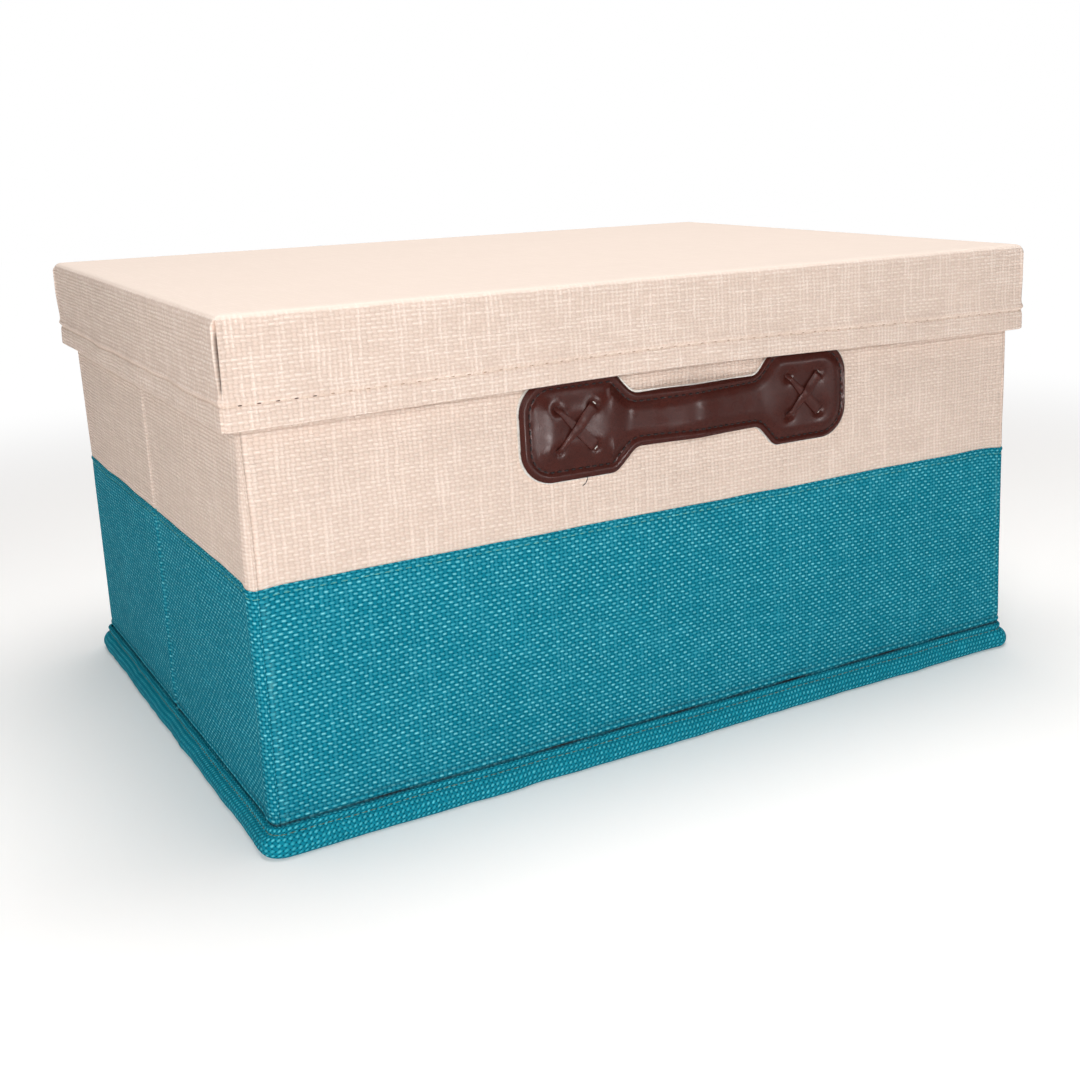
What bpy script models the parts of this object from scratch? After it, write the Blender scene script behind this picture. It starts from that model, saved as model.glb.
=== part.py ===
# Fold-flat fabric storage box with a lift-off lid and a laced leather handle.
# Six stiffened wall panels stand on a cloth bottom. The side walls crease in the middle and
# fold inwards, which draws the back wall up to the front one. A loose floor board lies
# inside, and a shallow cloth-covered lid sits over the walls.
# Frame: metres, +Z up, origin on the floor under the middle of the box, front towards -Y.

import math

import bmesh
import bpy
from mathutils import Matrix, Vector

for old in list(bpy.data.objects):
    bpy.data.objects.remove(old, do_unlink=True)

# Box body
body_width = 0.376
body_depth = 0.284
wall_top = 0.2003
seam_height = 0.1045
fit_gap = 0.0003

# Layers of a wall, from the outside in
cloth = 0.0008
board = 0.0020
turned_hem = 0.022
wall_thickness = cloth + fit_gap + board + fit_gap + cloth

# Bottom of the box and the welt round it
bottom_corner = 0.003
stitch_height = 0.0107
board_clear_of_stitch = 0.0013
welt_out = 0.0050
welt_height = 0.0086
welt_band = 0.0012
welt_float = 0.0003

# Loose floor board
base_card = 0.0018
base_cloth = 0.0004
base_play = 0.0010
base_turn_under = 0.018
base_corner = 0.004

# Lid: its rim passes over the tabs of the handle with a small play
lid_play = 0.0004
lid_rim_height = 0.0413
lid_cloth = 0.0007
lid_card = 0.0019
rim_card = 0.0010
lid_hem = 0.0094
lid_corner = 0.003

# Handle: two tabs joined by a grip, all in one strap
handle_length = 0.1638
handle_shift = 0.0027
tab_height = 0.0424
tab_length = 0.0430
tab_corner = 0.0140
grip_height = 0.0226
grip_chamfer = 0.0092
grip_bow = 0.0032
tab_tuck = 0.0047
strap = 0.0011
strap_edge = 0.0003
backing = 0.0004

# Lacing of the handle: two crossed strips on each tab
lace_span = 0.0161
lace_rise = 0.0164
lace_inset = 0.0245
lace_width = 0.0042
lace_thick = 0.0007
lace_hole = 0.0054
lace_foot = 0.0052
lace_hump = 0.0042
pocket_margin = 0.0009
pocket_depth = 0.0013
cut_overrun = 0.002

arc_steps = 6
hole_sides = 16
bow_steps = 10

# Heights and faces that follow from the sizes above
front_foot = cloth + fit_gap
base_low = cloth + fit_gap
base_top = base_low + base_cloth + fit_gap + base_card + fit_gap + base_cloth
side_foot = base_top + fit_gap
board_foot = stitch_height + board_clear_of_stitch
front_face = -body_depth / 2
left_face = -body_width / 2
lid_low = wall_top + fit_gap
lid_top = lid_low + lid_cloth + fit_gap + lid_card + fit_gap + lid_cloth
rim_low = lid_top - lid_rim_height
rim_thickness = lid_cloth + fit_gap + rim_card + fit_gap + lid_cloth
backing_out = fit_gap + backing
strap_out = backing_out + fit_gap + strap
lid_outset = strap_out + lid_play + rim_thickness
handle_centre_height = rim_low + tab_tuck - tab_height / 2
pivot_play = fit_gap / 2
side_run = body_depth / 2 - wall_thickness - fit_gap - pivot_play


def make_material(name, colour, roughness):
    material = bpy.data.materials.new(name)
    material.use_nodes = True
    shader = material.node_tree.nodes["Principled BSDF"]
    shader.inputs["Base Color"].default_value = (*colour, 1)
    shader.inputs["Roughness"].default_value = roughness
    shader.inputs["Metallic"].default_value = 0
    return material


cream_linen = make_material("cream_linen", (0.76, 0.65, 0.56), 0.9)
teal_linen = make_material("teal_linen", (0.013, 0.25, 0.33), 0.9)
lining_cotton = make_material("lining_cotton", (0.68, 0.62, 0.54), 0.95)
grey_card = make_material("grey_card", (0.34, 0.31, 0.27), 0.9)
brown_leather = make_material("brown_leather", (0.075, 0.026, 0.02), 0.45)
lace_leather = make_material("lace_leather", (0.05, 0.018, 0.014), 0.5)
pale_backing = make_material("pale_backing", (0.55, 0.52, 0.48), 0.95)


def make_pivot(name, place, parent=None):
    pivot = bpy.data.objects.new(name, None)
    pivot.empty_display_size = wall_thickness
    bpy.context.collection.objects.link(pivot)
    pivot.parent = parent
    pivot.location = Vector(place) - (world_place(parent) if parent else Vector())
    return pivot


def world_place(pivot):
    return pivot.location + (world_place(pivot.parent) if pivot.parent else Vector())


# Turn a bmesh in world metres into an object whose origin is its pivot.
def finish(name, mesh_edit, material, pivot, modifiers=()):
    bmesh.ops.translate(mesh_edit, verts=mesh_edit.verts, vec=-world_place(pivot))
    mesh = bpy.data.meshes.new(name)
    mesh_edit.to_mesh(mesh)
    mesh_edit.free()
    mesh.materials.append(material)
    piece = bpy.data.objects.new(name, mesh)
    bpy.context.collection.objects.link(piece)
    piece.parent = pivot
    for kind, settings in modifiers:
        modifier = piece.modifiers.new(kind.title(), kind)
        for key, value in settings.items():
            setattr(modifier, key, value)
    return piece


# Cloth of one thickness on the inner side of a sheet, exact at its folds
def inward_cloth(thickness):
    settings = {
        "solidify_mode": "NON_MANIFOLD",
        "nonmanifold_thickness_mode": "CONSTRAINTS",
        "nonmanifold_merge_threshold": 0.00001,
        "thickness": thickness,
        "offset": -1,
    }
    return [("SOLIDIFY", settings)]


# A box between two corners, as a bmesh.
def block(low, high):
    shape = bmesh.new()
    size = Vector(high) - Vector(low)
    middle = (Vector(high) + Vector(low)) / 2
    place = Matrix.Translation(middle) @ Matrix.Diagonal((*size, 1))
    bmesh.ops.create_cube(shape, size=1, matrix=place)
    return shape


def faces_towards(shape, direction):
    direction = Vector(direction)
    shape.normal_update()
    facing = [face for face in shape.faces if face.normal.dot(direction) > 0.9]
    reach = max(face.calc_center_median().dot(direction) for face in facing)
    near = fit_gap / 2
    return [face for face in facing if face.calc_center_median().dot(direction) > reach - near]


def drop_faces(shape, faces):
    bmesh.ops.delete(shape, geom=faces, context="FACES")


# Round the outermost upright edges of a box-like shape
def round_upright_edges(shape, radius, steps=arc_steps):
    upright = []
    for edge in shape.edges:
        run = edge.verts[1].co - edge.verts[0].co
        if abs(run.z) > abs(run.x) + abs(run.y):
            upright.append(edge)
    spread = {edge: abs(edge.verts[0].co.x) + abs(edge.verts[0].co.y) for edge in upright}
    outermost = max(spread.values()) - fit_gap
    bmesh.ops.bevel(shape, geom=[edge for edge in upright if spread[edge] > outermost],
                    offset=radius, segments=steps, profile=0.5, affect="EDGES", material=-1)


# Cut closed cutter meshes out of a piece and leave plain geometry behind.
def drill(piece, cutters):
    merged = bmesh.new()
    for cutter in cutters:
        scratch = bpy.data.meshes.new("cutter")
        cutter.to_mesh(scratch)
        cutter.free()
        merged.from_mesh(scratch)
        bpy.data.meshes.remove(scratch)
    bmesh.ops.translate(merged, verts=merged.verts, vec=-world_place(piece.parent))
    mesh = bpy.data.meshes.new(piece.name + "_cutter")
    merged.to_mesh(mesh)
    merged.free()
    tool = bpy.data.objects.new(piece.name + "_cutter", mesh)
    bpy.context.collection.objects.link(tool)
    tool.parent = piece.parent
    cut = piece.modifiers.new("Cut", "BOOLEAN")
    cut.operation = "DIFFERENCE"
    cut.solver = "EXACT"
    cut.object = tool
    graph = bpy.context.evaluated_depsgraph_get()
    graph.update()
    result = bpy.data.meshes.new_from_object(piece.evaluated_get(graph), depsgraph=graph)
    piece.modifiers.clear()
    spare = piece.data
    piece.data = result
    result.name = piece.name
    bpy.data.meshes.remove(spare)
    bpy.data.objects.remove(tool, do_unlink=True)
    bpy.data.meshes.remove(mesh)


# Where a wall stands: its outer lower corner, its run and its way in.
class WallFrame:
    def __init__(self, corner, along, inward, length):
        self.corner = Vector(corner)
        self.along = Vector(along)
        self.inward = Vector(inward)
        self.length = length

    def point(self, run, depth, height):
        place = self.corner + self.along * run + self.inward * depth
        return place + Vector((0, 0, height))

    def block(self, runs, depths, heights):
        first = self.point(runs[0], depths[0], heights[0])
        second = self.point(runs[1], depths[1], heights[1])
        low = [min(pair) for pair in zip(first, second)]
        high = [max(pair) for pair in zip(first, second)]
        return block(low, high)


# Upper cloth: over the outside, over the top edge and down inside as a turned hem.
def wall_sleeve(name, wall, pivot, closed_ends):
    low = seam_height + fit_gap / 2
    shape = wall.block((0, wall.length), (0, wall_thickness), (low, wall_top))
    drop_faces(shape, faces_towards(shape, (0, 0, -1)))
    hem_low = wall.point(0, 0, wall_top - turned_hem)
    whole = list(shape.verts) + list(shape.edges) + list(shape.faces)
    bmesh.ops.bisect_plane(shape, geom=whole, plane_co=hem_low, plane_no=(0, 0, 1))
    inside = faces_towards(shape, wall.inward)
    drop_faces(shape, [face for face in inside if face.calc_center_median().z < hem_low.z])
    if not closed_ends:
        drop_faces(shape, faces_towards(shape, wall.along))
        drop_faces(shape, faces_towards(shape, -wall.along))
    return finish(name, shape, cream_linen, pivot, inward_cloth(cloth))


# Lower cloth: down the outside and turned in under the board.
def wall_trough(name, wall, pivot, closed_ends, foot):
    high = seam_height - fit_gap / 2
    depth = wall_thickness - cloth - fit_gap
    shape = wall.block((0, wall.length), (0, depth), (foot, high))
    drop_faces(shape, faces_towards(shape, (0, 0, 1)))
    drop_faces(shape, faces_towards(shape, wall.inward))
    if not closed_ends:
        drop_faces(shape, faces_towards(shape, wall.along))
        drop_faces(shape, faces_towards(shape, -wall.along))
    return finish(name, shape, teal_linen, pivot, inward_cloth(cloth))


def wall_panel(name, wall, pivot, closed_ends=False, foot=side_foot):
    end = cloth + fit_gap if closed_ends else 0
    runs = (end, wall.length - end)
    wall_sleeve(name + "_cream_cover", wall, pivot, closed_ends)
    wall_trough(name + "_teal_cover", wall, pivot, closed_ends, foot)
    depths = (cloth + fit_gap, cloth + fit_gap + board)
    stiffener = wall.block(runs, depths, (board_foot, wall_top - cloth - fit_gap))
    finish(name + "_board", stiffener, grey_card, pivot)
    depths = (wall_thickness - cloth, wall_thickness)
    lining = wall.block(runs, depths, (foot, wall_top - turned_hem - fit_gap))
    finish(name + "_lining", lining, lining_cotton, pivot)


# Round bead with a stitched band above it, mitred where it meets the next side.
def welt(name, wall, pivot, low):
    middle = (welt_height + low) / 2
    rise = (welt_height - low) / 2
    swell = welt_out - fit_gap
    start = math.acos(welt_band / swell)
    profile = [(0, stitch_height), (welt_band, stitch_height)]
    steps = 2 * arc_steps
    for step in range(steps + 1):
        turn = start - (start + math.pi / 2) * step / steps
        profile.append((swell * math.cos(turn), middle + rise * math.sin(turn)))
    shape = bmesh.new()
    far = welt_out + cut_overrun
    ring = [shape.verts.new(wall.point(-far, -fit_gap - out, height)) for out, height in profile]
    start_face = shape.faces.new(ring)
    pulled = bmesh.ops.extrude_face_region(shape, geom=[start_face])
    moved = [item for item in pulled["geom"] if isinstance(item, bmesh.types.BMVert)]
    bmesh.ops.translate(shape, verts=moved, vec=wall.along * (wall.length + 2 * far))
    for run, way in ((-fit_gap / 2, -1), (wall.length + fit_gap / 2, 1)):
        normal = wall.along * way + wall.inward
        whole = list(shape.verts) + list(shape.edges) + list(shape.faces)
        corner = wall.point(run - way * fit_gap / 2, 0, 0)
        cut = bmesh.ops.bisect_plane(shape, geom=whole, plane_co=corner, plane_no=normal,
                                     clear_outer=True)
        edges = [item for item in cut["geom_cut"] if isinstance(item, bmesh.types.BMEdge)]
        bmesh.ops.holes_fill(shape, edges=edges)
    bmesh.ops.recalc_face_normals(shape, faces=shape.faces)
    return finish(name, shape, teal_linen, pivot)


def flat_plate(half_x, half_y, low, high, radius):
    shape = block((-half_x, -half_y, low), (half_x, half_y, high))
    round_upright_edges(shape, radius)
    return shape


# Floor board: a card wrapped in cloth, the cloth turned under all round.
# Turn the cloth in under a box by a width and give back the face that it leaves open
def turn_in(shape, width):
    below = (0, 0, -1)
    under = faces_towards(shape, below)
    bmesh.ops.inset_region(shape, faces=under, thickness=width, use_even_offset=True)
    return max(faces_towards(shape, below), key=lambda face: face.calc_area())


def make_base(pivot):
    half_x = body_width / 2 - wall_thickness - base_play
    half_y = body_depth / 2 - wall_thickness - base_play
    card_inset = base_cloth + fit_gap
    card = flat_plate(half_x - card_inset, half_y - card_inset, base_low + card_inset,
                      base_top - card_inset, base_corner - card_inset)
    finish("base_board", card, grey_card, pivot)
    wrap = block((-half_x, -half_y, base_low), (half_x, half_y, base_top))
    drop_faces(wrap, [turn_in(wrap, base_turn_under)])
    round_upright_edges(wrap, base_corner)
    finish("base_cover", wrap, lining_cotton, pivot, inward_cloth(base_cloth))


def make_lid(pivot):
    half_x = body_width / 2 + lid_outset
    half_y = body_depth / 2 + lid_outset
    # Outer cloth: a cap whose lower edge turns in and up as a hem
    cap = block((-half_x, -half_y, rim_low), (half_x, half_y, lid_top))
    mouth = turn_in(cap, rim_thickness)
    leaf = bmesh.ops.extrude_face_region(cap, geom=[mouth])["geom"]
    moved = [item for item in leaf if isinstance(item, bmesh.types.BMVert)]
    bmesh.ops.translate(cap, verts=moved, vec=(0, 0, lid_hem))
    drop_faces(cap, [mouth] + [item for item in leaf if isinstance(item, bmesh.types.BMFace)])
    round_upright_edges(cap, lid_corner)
    finish("lid_cover", cap, cream_linen, pivot, inward_cloth(lid_cloth))
    # Lining: the underside and the inside of the rim, down to the hem
    card_inset = lid_cloth + fit_gap
    lining_out = card_inset + rim_card + fit_gap
    hem_top = rim_low + lid_hem + fit_gap
    lining = flat_plate(half_x - lining_out, half_y - lining_out, hem_top,
                        lid_low + lid_cloth, lid_corner / 2)
    drop_faces(lining, faces_towards(lining, (0, 0, -1)))
    finish("lid_lining", lining, lining_cotton, pivot, inward_cloth(lid_cloth))
    # Cards: one in the top, one in each side of the rim
    card_low = lid_low + lid_cloth + fit_gap
    top = flat_plate(half_x - card_inset, half_y - card_inset, card_low,
                     card_low + lid_card, lid_corner - card_inset)
    finish("lid_top_board", top, grey_card, pivot)
    heights = (rim_low + lid_cloth + fit_gap, card_low - fit_gap)
    corner_clear = lid_corner
    rims = {
        "lid_rim_front_board": ((-half_x, -half_y), (1, 0), (0, 1), half_x),
        "lid_rim_back_board": ((half_x, half_y), (-1, 0), (0, -1), half_x),
        "lid_rim_left_board": ((-half_x, half_y), (0, -1), (1, 0), half_y),
        "lid_rim_right_board": ((half_x, -half_y), (0, 1), (-1, 0), half_y),
    }
    for name, (corner, along, inward, half) in rims.items():
        side = WallFrame((*corner, 0), (*along, 0), (*inward, 0), 2 * half)
        runs = (corner_clear, side.length - corner_clear)
        strip = side.block(runs, (card_inset, card_inset + rim_card), heights)
        finish(name, strip, grey_card, pivot)


# Half of the strap's outline, clockwise from the middle of its top edge.
def strap_outline():
    end = handle_length / 2
    tab = tab_height / 2
    grip = grip_height / 2
    inner = end - tab_length
    points = [(inner - grip_chamfer, grip), (inner, tab)]
    for way in (1, -1):
        centre = (end - tab_corner, way * (tab - tab_corner))
        for step in range(arc_steps + 1):
            share = step / arc_steps
            turn = math.pi / 2 * (1 - share if way > 0 else -share)
            across = centre[0] + tab_corner * math.cos(turn)
            points.append((across, centre[1] + tab_corner * math.sin(turn)))
    points += [(inner, -tab), (inner - grip_chamfer, -grip)]
    return points


# The strap's form, its outer face at a depth in front of the wall, bowed at the grip.
def strap_shape(outer, thickness, edge):
    right = strap_outline()
    left = [(-across, up) for across, up in reversed(right)]
    shape = bmesh.new()
    ring = []
    for across, up in right + left:
        place = (handle_shift + across, front_face - outer, handle_centre_height + up)
        ring.append(shape.verts.new(place))
    face = shape.faces.new(ring)
    pulled = bmesh.ops.extrude_face_region(shape, geom=[face])
    moved = [item for item in pulled["geom"] if isinstance(item, bmesh.types.BMVert)]
    bmesh.ops.translate(shape, verts=moved, vec=(0, thickness, 0))
    bmesh.ops.recalc_face_normals(shape, faces=shape.faces)
    if edge:
        rim = [item for item in faces_towards(shape, (0, -1, 0))[0].edges]
        bmesh.ops.bevel(shape, geom=rim, offset=edge, segments=1, profile=0.5,
                        affect="EDGES", material=-1)
    bow_half = handle_length / 2 - tab_length - grip_chamfer
    for step in range(bow_steps + 1):
        across = handle_shift - bow_half + 2 * bow_half * step / bow_steps
        whole = list(shape.verts) + list(shape.edges) + list(shape.faces)
        bmesh.ops.bisect_plane(shape, geom=whole, plane_co=(across, 0, 0), plane_no=(1, 0, 0))
    for vert in shape.verts:
        reach = abs(vert.co.x - handle_shift) / bow_half
        if reach < 1:
            vert.co.y -= grip_bow * (1 + math.cos(math.pi * reach)) / 2
    return shape


def round_cutter(across, up, near, far):
    shape = bmesh.new()
    turn = Matrix.Rotation(math.pi / 2, 4, "X")
    middle = Matrix.Translation((across, (near + far) / 2, up))
    bmesh.ops.create_cone(shape, cap_ends=True, segments=hole_sides, radius1=lace_hole / 2,
                          radius2=lace_hole / 2, depth=abs(far - near), matrix=middle @ turn)
    return shape


def tab_centres():
    reach = handle_length / 2 - lace_inset
    return [handle_shift - reach, handle_shift + reach]


def lace_cutters(near, far):
    cutters = []
    for centre in tab_centres():
        for side in (-1, 1):
            for level in (-1, 1):
                across = centre + side * lace_span / 2
                up = handle_centre_height + level * lace_rise / 2
                cutters.append(round_cutter(across, up, near, far))
    return cutters


# Points at a distance to the left of a path, with mitred corners.
def offset_path(path, distance):
    result = []
    for index, point in enumerate(path):
        runs = []
        if index > 0:
            runs.append((point - path[index - 1]).normalized())
        if index < len(path) - 1:
            runs.append((path[index + 1] - point).normalized())
        sides = [Vector((-run.y, run.x)) for run in runs]
        normal = sum(sides, Vector((0, 0))).normalized()
        result.append(point + normal * (distance / normal.dot(sides[0])))
    return result


# A flat strip across the tab, through its holes and clinched behind the card.
def lace(name, centre, rise_way, over, pivot):
    half = math.hypot(lace_span, lace_rise) / 2
    level = strap_out + fit_gap + lace_thick / 2
    lift = lace_thick + fit_gap if over else 0
    board_back = cloth + fit_gap + board
    foot_level = -(board_back - fit_gap - lace_thick / 2)
    path = [(-half + lace_foot, foot_level), (-half, foot_level), (-half, level)]
    if over:
        rest = lace_hump + lace_thick + fit_gap
        path += [(-rest, level), (-lace_hump, level + lift)]
        path += [(lace_hump, level + lift), (rest, level)]
    path += [(half, level), (half, foot_level), (half - lace_foot, foot_level)]
    path = [Vector(point) for point in path]
    edge = offset_path(path, lace_thick / 2)
    other = offset_path(path, -lace_thick / 2)
    along = Vector((lace_span, 0, rise_way * lace_rise)).normalized()
    out = Vector((0, -1, 0))
    sideways = along.cross(out)
    middle = Vector((centre, front_face, handle_centre_height))
    shape = bmesh.new()
    ring = []
    for point in edge + other[::-1]:
        place = middle + along * point.x + out * point.y - sideways * lace_width / 2
        ring.append(shape.verts.new(place))
    face = shape.faces.new(ring)
    pulled = bmesh.ops.extrude_face_region(shape, geom=[face])
    moved = [item for item in pulled["geom"] if isinstance(item, bmesh.types.BMVert)]
    bmesh.ops.translate(shape, verts=moved, vec=sideways * lace_width)
    bmesh.ops.recalc_face_normals(shape, faces=shape.faces)
    return finish(name, shape, lace_leather, pivot)


def make_handle(pivot):
    near = front_face - strap_out - cut_overrun
    far = front_face + cloth + fit_gap + board + cut_overrun
    front_of_wall = front_face - fit_gap / 2
    leather = finish("handle_strap", strap_shape(strap_out, strap, strap_edge),
                     brown_leather, pivot)
    drill(leather, lace_cutters(near, front_of_wall))
    felt = finish("handle_backing", strap_shape(backing_out, backing, 0), pale_backing, pivot)
    drill(felt, lace_cutters(near, front_of_wall))
    back_of_cloth = front_face + cloth + fit_gap / 2
    drill(bpy.data.objects["front_cream_cover"], lace_cutters(near, back_of_cloth))
    cutters = lace_cutters(near, far)
    board_back = front_face + cloth + fit_gap + board
    half_x = (lace_span + lace_hole) / 2 + pocket_margin
    half_z = (lace_rise + lace_hole) / 2 + pocket_margin
    for centre in tab_centres():
        low = (centre - half_x, board_back - pocket_depth, handle_centre_height - half_z)
        high = (centre + half_x, board_back + cut_overrun, handle_centre_height + half_z)
        cutters.append(block(low, high))
    for cutter in cutters:
        drill(bpy.data.objects["front_board"], [cutter])
    for side, centre in zip(("left", "right"), tab_centres()):
        lace("lace_" + side + "_over", centre, 1, True, pivot)
        lace("lace_" + side + "_under", centre, -1, False, pivot)


def build():
    root = make_pivot("body_root", (0, 0, 0))
    inner_x = body_width / 2 - wall_thickness
    inner_y = body_depth / 2 - wall_thickness - pivot_play
    crease_x = body_width / 2 + pivot_play
    left_front = make_pivot("hinge_left_front", (-inner_x, -inner_y, 0), root)
    left_back = make_pivot("hinge_left_back", (-crease_x, 0, 0), left_front)
    back = make_pivot("hinge_back", (-inner_x, inner_y, 0), left_back)
    right_front = make_pivot("hinge_right_front", (inner_x, -inner_y, 0), root)
    right_back = make_pivot("hinge_right_back", (crease_x, 0, 0), right_front)
    base = make_pivot("lift_base", (0, 0, base_low), root)
    lid = make_pivot("lift_lid", (0, 0, lid_low), base)

    x_way, y_way = Vector((1, 0, 0)), Vector((0, 1, 0))
    half_x, half_y = body_width / 2, body_depth / 2
    front_wall = WallFrame((-half_x, -half_y, 0), x_way, y_way, body_width)
    back_wall = WallFrame((half_x, half_y, 0), -x_way, -y_way, body_width)
    wall_panel("front", front_wall, root, closed_ends=True, foot=front_foot)
    wall_panel("back", back_wall, back, closed_ends=True)
    corner = wall_thickness + fit_gap
    crease = fit_gap / 2
    for name, face, pivot, start, inward in (
            ("left_front", -half_x, left_front, -half_y + corner, x_way),
            ("left_back", -half_x, left_back, crease, x_way),
            ("right_front", half_x, right_front, -half_y + corner, -x_way),
            ("right_back", half_x, right_back, crease, -x_way)):
        wall_panel(name, WallFrame((face, start, 0), y_way, inward, side_run), pivot)

    sheet = flat_plate(half_x, half_y, 0, cloth, bottom_corner)
    finish("bottom_sheet", sheet, teal_linen, root)
    left_wall = WallFrame((-half_x, half_y, 0), -y_way, x_way, body_depth)
    right_wall = WallFrame((half_x, -half_y, 0), y_way, -x_way, body_depth)
    welt("front_welt", front_wall, root, 0)
    welt("back_welt", back_wall, root, welt_float)
    welt("left_welt", left_wall, root, welt_float)
    welt("right_welt", right_wall, root, welt_float)

    make_base(base)
    make_lid(lid)
    make_handle(root)


build()
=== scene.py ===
import math

import bmesh
import bpy
from mathutils import Matrix, Vector, noise


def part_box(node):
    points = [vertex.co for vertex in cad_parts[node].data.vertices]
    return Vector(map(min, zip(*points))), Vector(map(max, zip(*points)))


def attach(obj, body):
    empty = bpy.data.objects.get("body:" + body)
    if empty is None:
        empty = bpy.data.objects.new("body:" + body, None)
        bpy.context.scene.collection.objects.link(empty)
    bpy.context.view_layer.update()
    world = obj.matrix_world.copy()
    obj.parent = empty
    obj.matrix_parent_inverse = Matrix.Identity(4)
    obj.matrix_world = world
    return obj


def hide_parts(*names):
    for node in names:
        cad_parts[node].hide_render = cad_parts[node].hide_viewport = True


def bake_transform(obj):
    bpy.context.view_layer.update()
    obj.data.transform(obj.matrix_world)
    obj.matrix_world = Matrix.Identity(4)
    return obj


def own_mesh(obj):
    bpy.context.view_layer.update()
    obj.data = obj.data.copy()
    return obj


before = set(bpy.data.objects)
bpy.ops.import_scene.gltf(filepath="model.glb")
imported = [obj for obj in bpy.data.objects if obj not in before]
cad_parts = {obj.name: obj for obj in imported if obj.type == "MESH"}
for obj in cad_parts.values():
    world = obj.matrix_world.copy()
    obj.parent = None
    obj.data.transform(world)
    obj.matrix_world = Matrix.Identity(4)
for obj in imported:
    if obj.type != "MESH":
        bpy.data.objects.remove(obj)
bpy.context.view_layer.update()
print("frame loaded")

# Lengths are metres, angles degrees.

body = {
    "halfX": -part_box("left_front_teal_cover")[0].x - 0.00001,
    "halfY": -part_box("front_teal_cover")[0].y - 0.00001,
    "top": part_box("front_cream_cover")[1].z,
    "seam": (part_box("front_cream_cover")[0].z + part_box("front_teal_cover")[1].z) / 2,
    "thick": 0.0042,
    "cloth": 0.0007,
}
lidSize = {
    "halfX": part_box("lid_cover")[1].x,
    "halfY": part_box("lid_cover")[1].y,
    "low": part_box("lid_cover")[0].z,
    "top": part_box("lid_cover")[1].z,
}


# Node helpers

def addNode(tree, kind, **settings):
    made = tree.nodes.new(kind)
    for key, value in settings.items():
        setattr(made, key, value)
    return made


def feed(tree, source, socket):
    if isinstance(source, bpy.types.NodeSocket):
        tree.links.new(source, socket)
    elif source is not None:
        socket.default_value = source


def maths(tree, operation, *values, clamp=False):
    made = addNode(tree, "ShaderNodeMath", operation=operation, use_clamp=clamp)
    for socket, value in zip(made.inputs, values):
        feed(tree, value, socket)
    return made.outputs[0]


def times(tree, first, second):
    return maths(tree, "MULTIPLY", first, second)


def plus(tree, first, second):
    return maths(tree, "ADD", first, second)


def ranged(tree, value, low, high, toLow=0.0, toHigh=1.0, smooth=True):
    made = addNode(tree, "ShaderNodeMapRange")
    made.interpolation_type = "SMOOTHSTEP" if smooth else "LINEAR"
    for socket, source in zip(made.inputs, (value, low, high, toLow, toHigh)):
        feed(tree, source, socket)
    return made.outputs[0]


def mixed(tree, factor, first, second, blend="MIX"):
    made = addNode(tree, "ShaderNodeMix", data_type="RGBA", blend_type=blend)
    feed(tree, factor, made.inputs["Factor"])
    feed(tree, first, made.inputs[6])
    feed(tree, second, made.inputs[7])
    return made.outputs[2]


def noiseAt(tree, vector, scale, detail):
    made = addNode(tree, "ShaderNodeTexNoise")
    feed(tree, vector, made.inputs["Vector"])
    made.inputs["Scale"].default_value = scale
    made.inputs["Detail"].default_value = detail
    return made.outputs["Fac"]


def joined(tree, x, y, z=0.0):
    made = addNode(tree, "ShaderNodeCombineXYZ")
    for socket, source in zip(made.inputs, (x, y, z)):
        feed(tree, source, socket)
    return made.outputs[0]


def parted(tree, vector):
    made = addNode(tree, "ShaderNodeSeparateXYZ")
    feed(tree, vector, made.inputs[0])
    return made.outputs


def makeGroup(name, inputs, outputs):
    group = bpy.data.node_groups.new(name, "ShaderNodeTree")
    for label, kind, value in inputs:
        socket = group.interface.new_socket(label, in_out="INPUT", socket_type=kind)
        if value is not None:
            socket.default_value = value
    for label, kind in outputs:
        group.interface.new_socket(label, in_out="OUTPUT", socket_type=kind)
    source = group.nodes.new("NodeGroupInput").outputs
    sink = group.nodes.new("NodeGroupOutput").inputs
    return group, source, sink


def placeGroup(tree, group, **values):
    made = addNode(tree, "ShaderNodeGroup", node_tree=group)
    for label, value in values.items():
        feed(tree, value, made.inputs[label])
    return made.outputs


def linear(red, green, blue):
    return tuple(
        (c / 255 / 12.92 if c / 255 <= 0.04045 else ((c / 255 + 0.055) / 1.055) ** 2.4)
        for c in (red, green, blue)
    ) + (1.0,)


# Shared effects

# A plain weave: the weft floats over every other warp, with uneven, slubby threads. Its Float, Line and Row
# masks are painted highlights along the threads' crowns.
weave, source, sink = makeGroup(
    "plainWeave",
    [("Surface", "NodeSocketVector", None), ("Warp Pitch", "NodeSocketFloat", 0.0018),
     ("Weft Pitch", "NodeSocketFloat", 0.0016), ("Unevenness", "NodeSocketFloat", 0.3),
     ("Weft Lift", "NodeSocketFloat", 0.15), ("Luck", "NodeSocketFloat", 0.5)],
    [(label, "NodeSocketFloat") for label in ("Height", "Weft", "Float", "Line", "RowGlint", "Tone", "Slub")],
)
across, along = parted(weave, source["Surface"])[:2]
wander, sway = (times(weave, maths(weave, "SUBTRACT", noiseAt(weave, source["Surface"], scale, 1), 0.5),
                      source["Unevenness"]) for scale in (90, 140))
warpAt = plus(weave, maths(weave, "DIVIDE", across, source["Warp Pitch"]), times(weave, wander, 2.4))
weftAt = plus(weave, maths(weave, "DIVIDE", along, source["Weft Pitch"]), times(weave, sway, 2.0))
warpWave = maths(weave, "COSINE", times(weave, warpAt, math.pi))
weftWave = maths(weave, "COSINE", times(weave, weftAt, math.pi))
warpRound = maths(weave, "POWER", maths(weave, "ABSOLUTE", warpWave), 0.8)
weftRound = maths(weave, "POWER", maths(weave, "ABSOLUTE", weftWave), 0.8)
weftTone = noiseAt(weave, joined(weave, times(weave, warpAt, 0.11),
                                 times(weave, maths(weave, "ROUND", weftAt), 7.3)), 1.0, 1)
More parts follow.
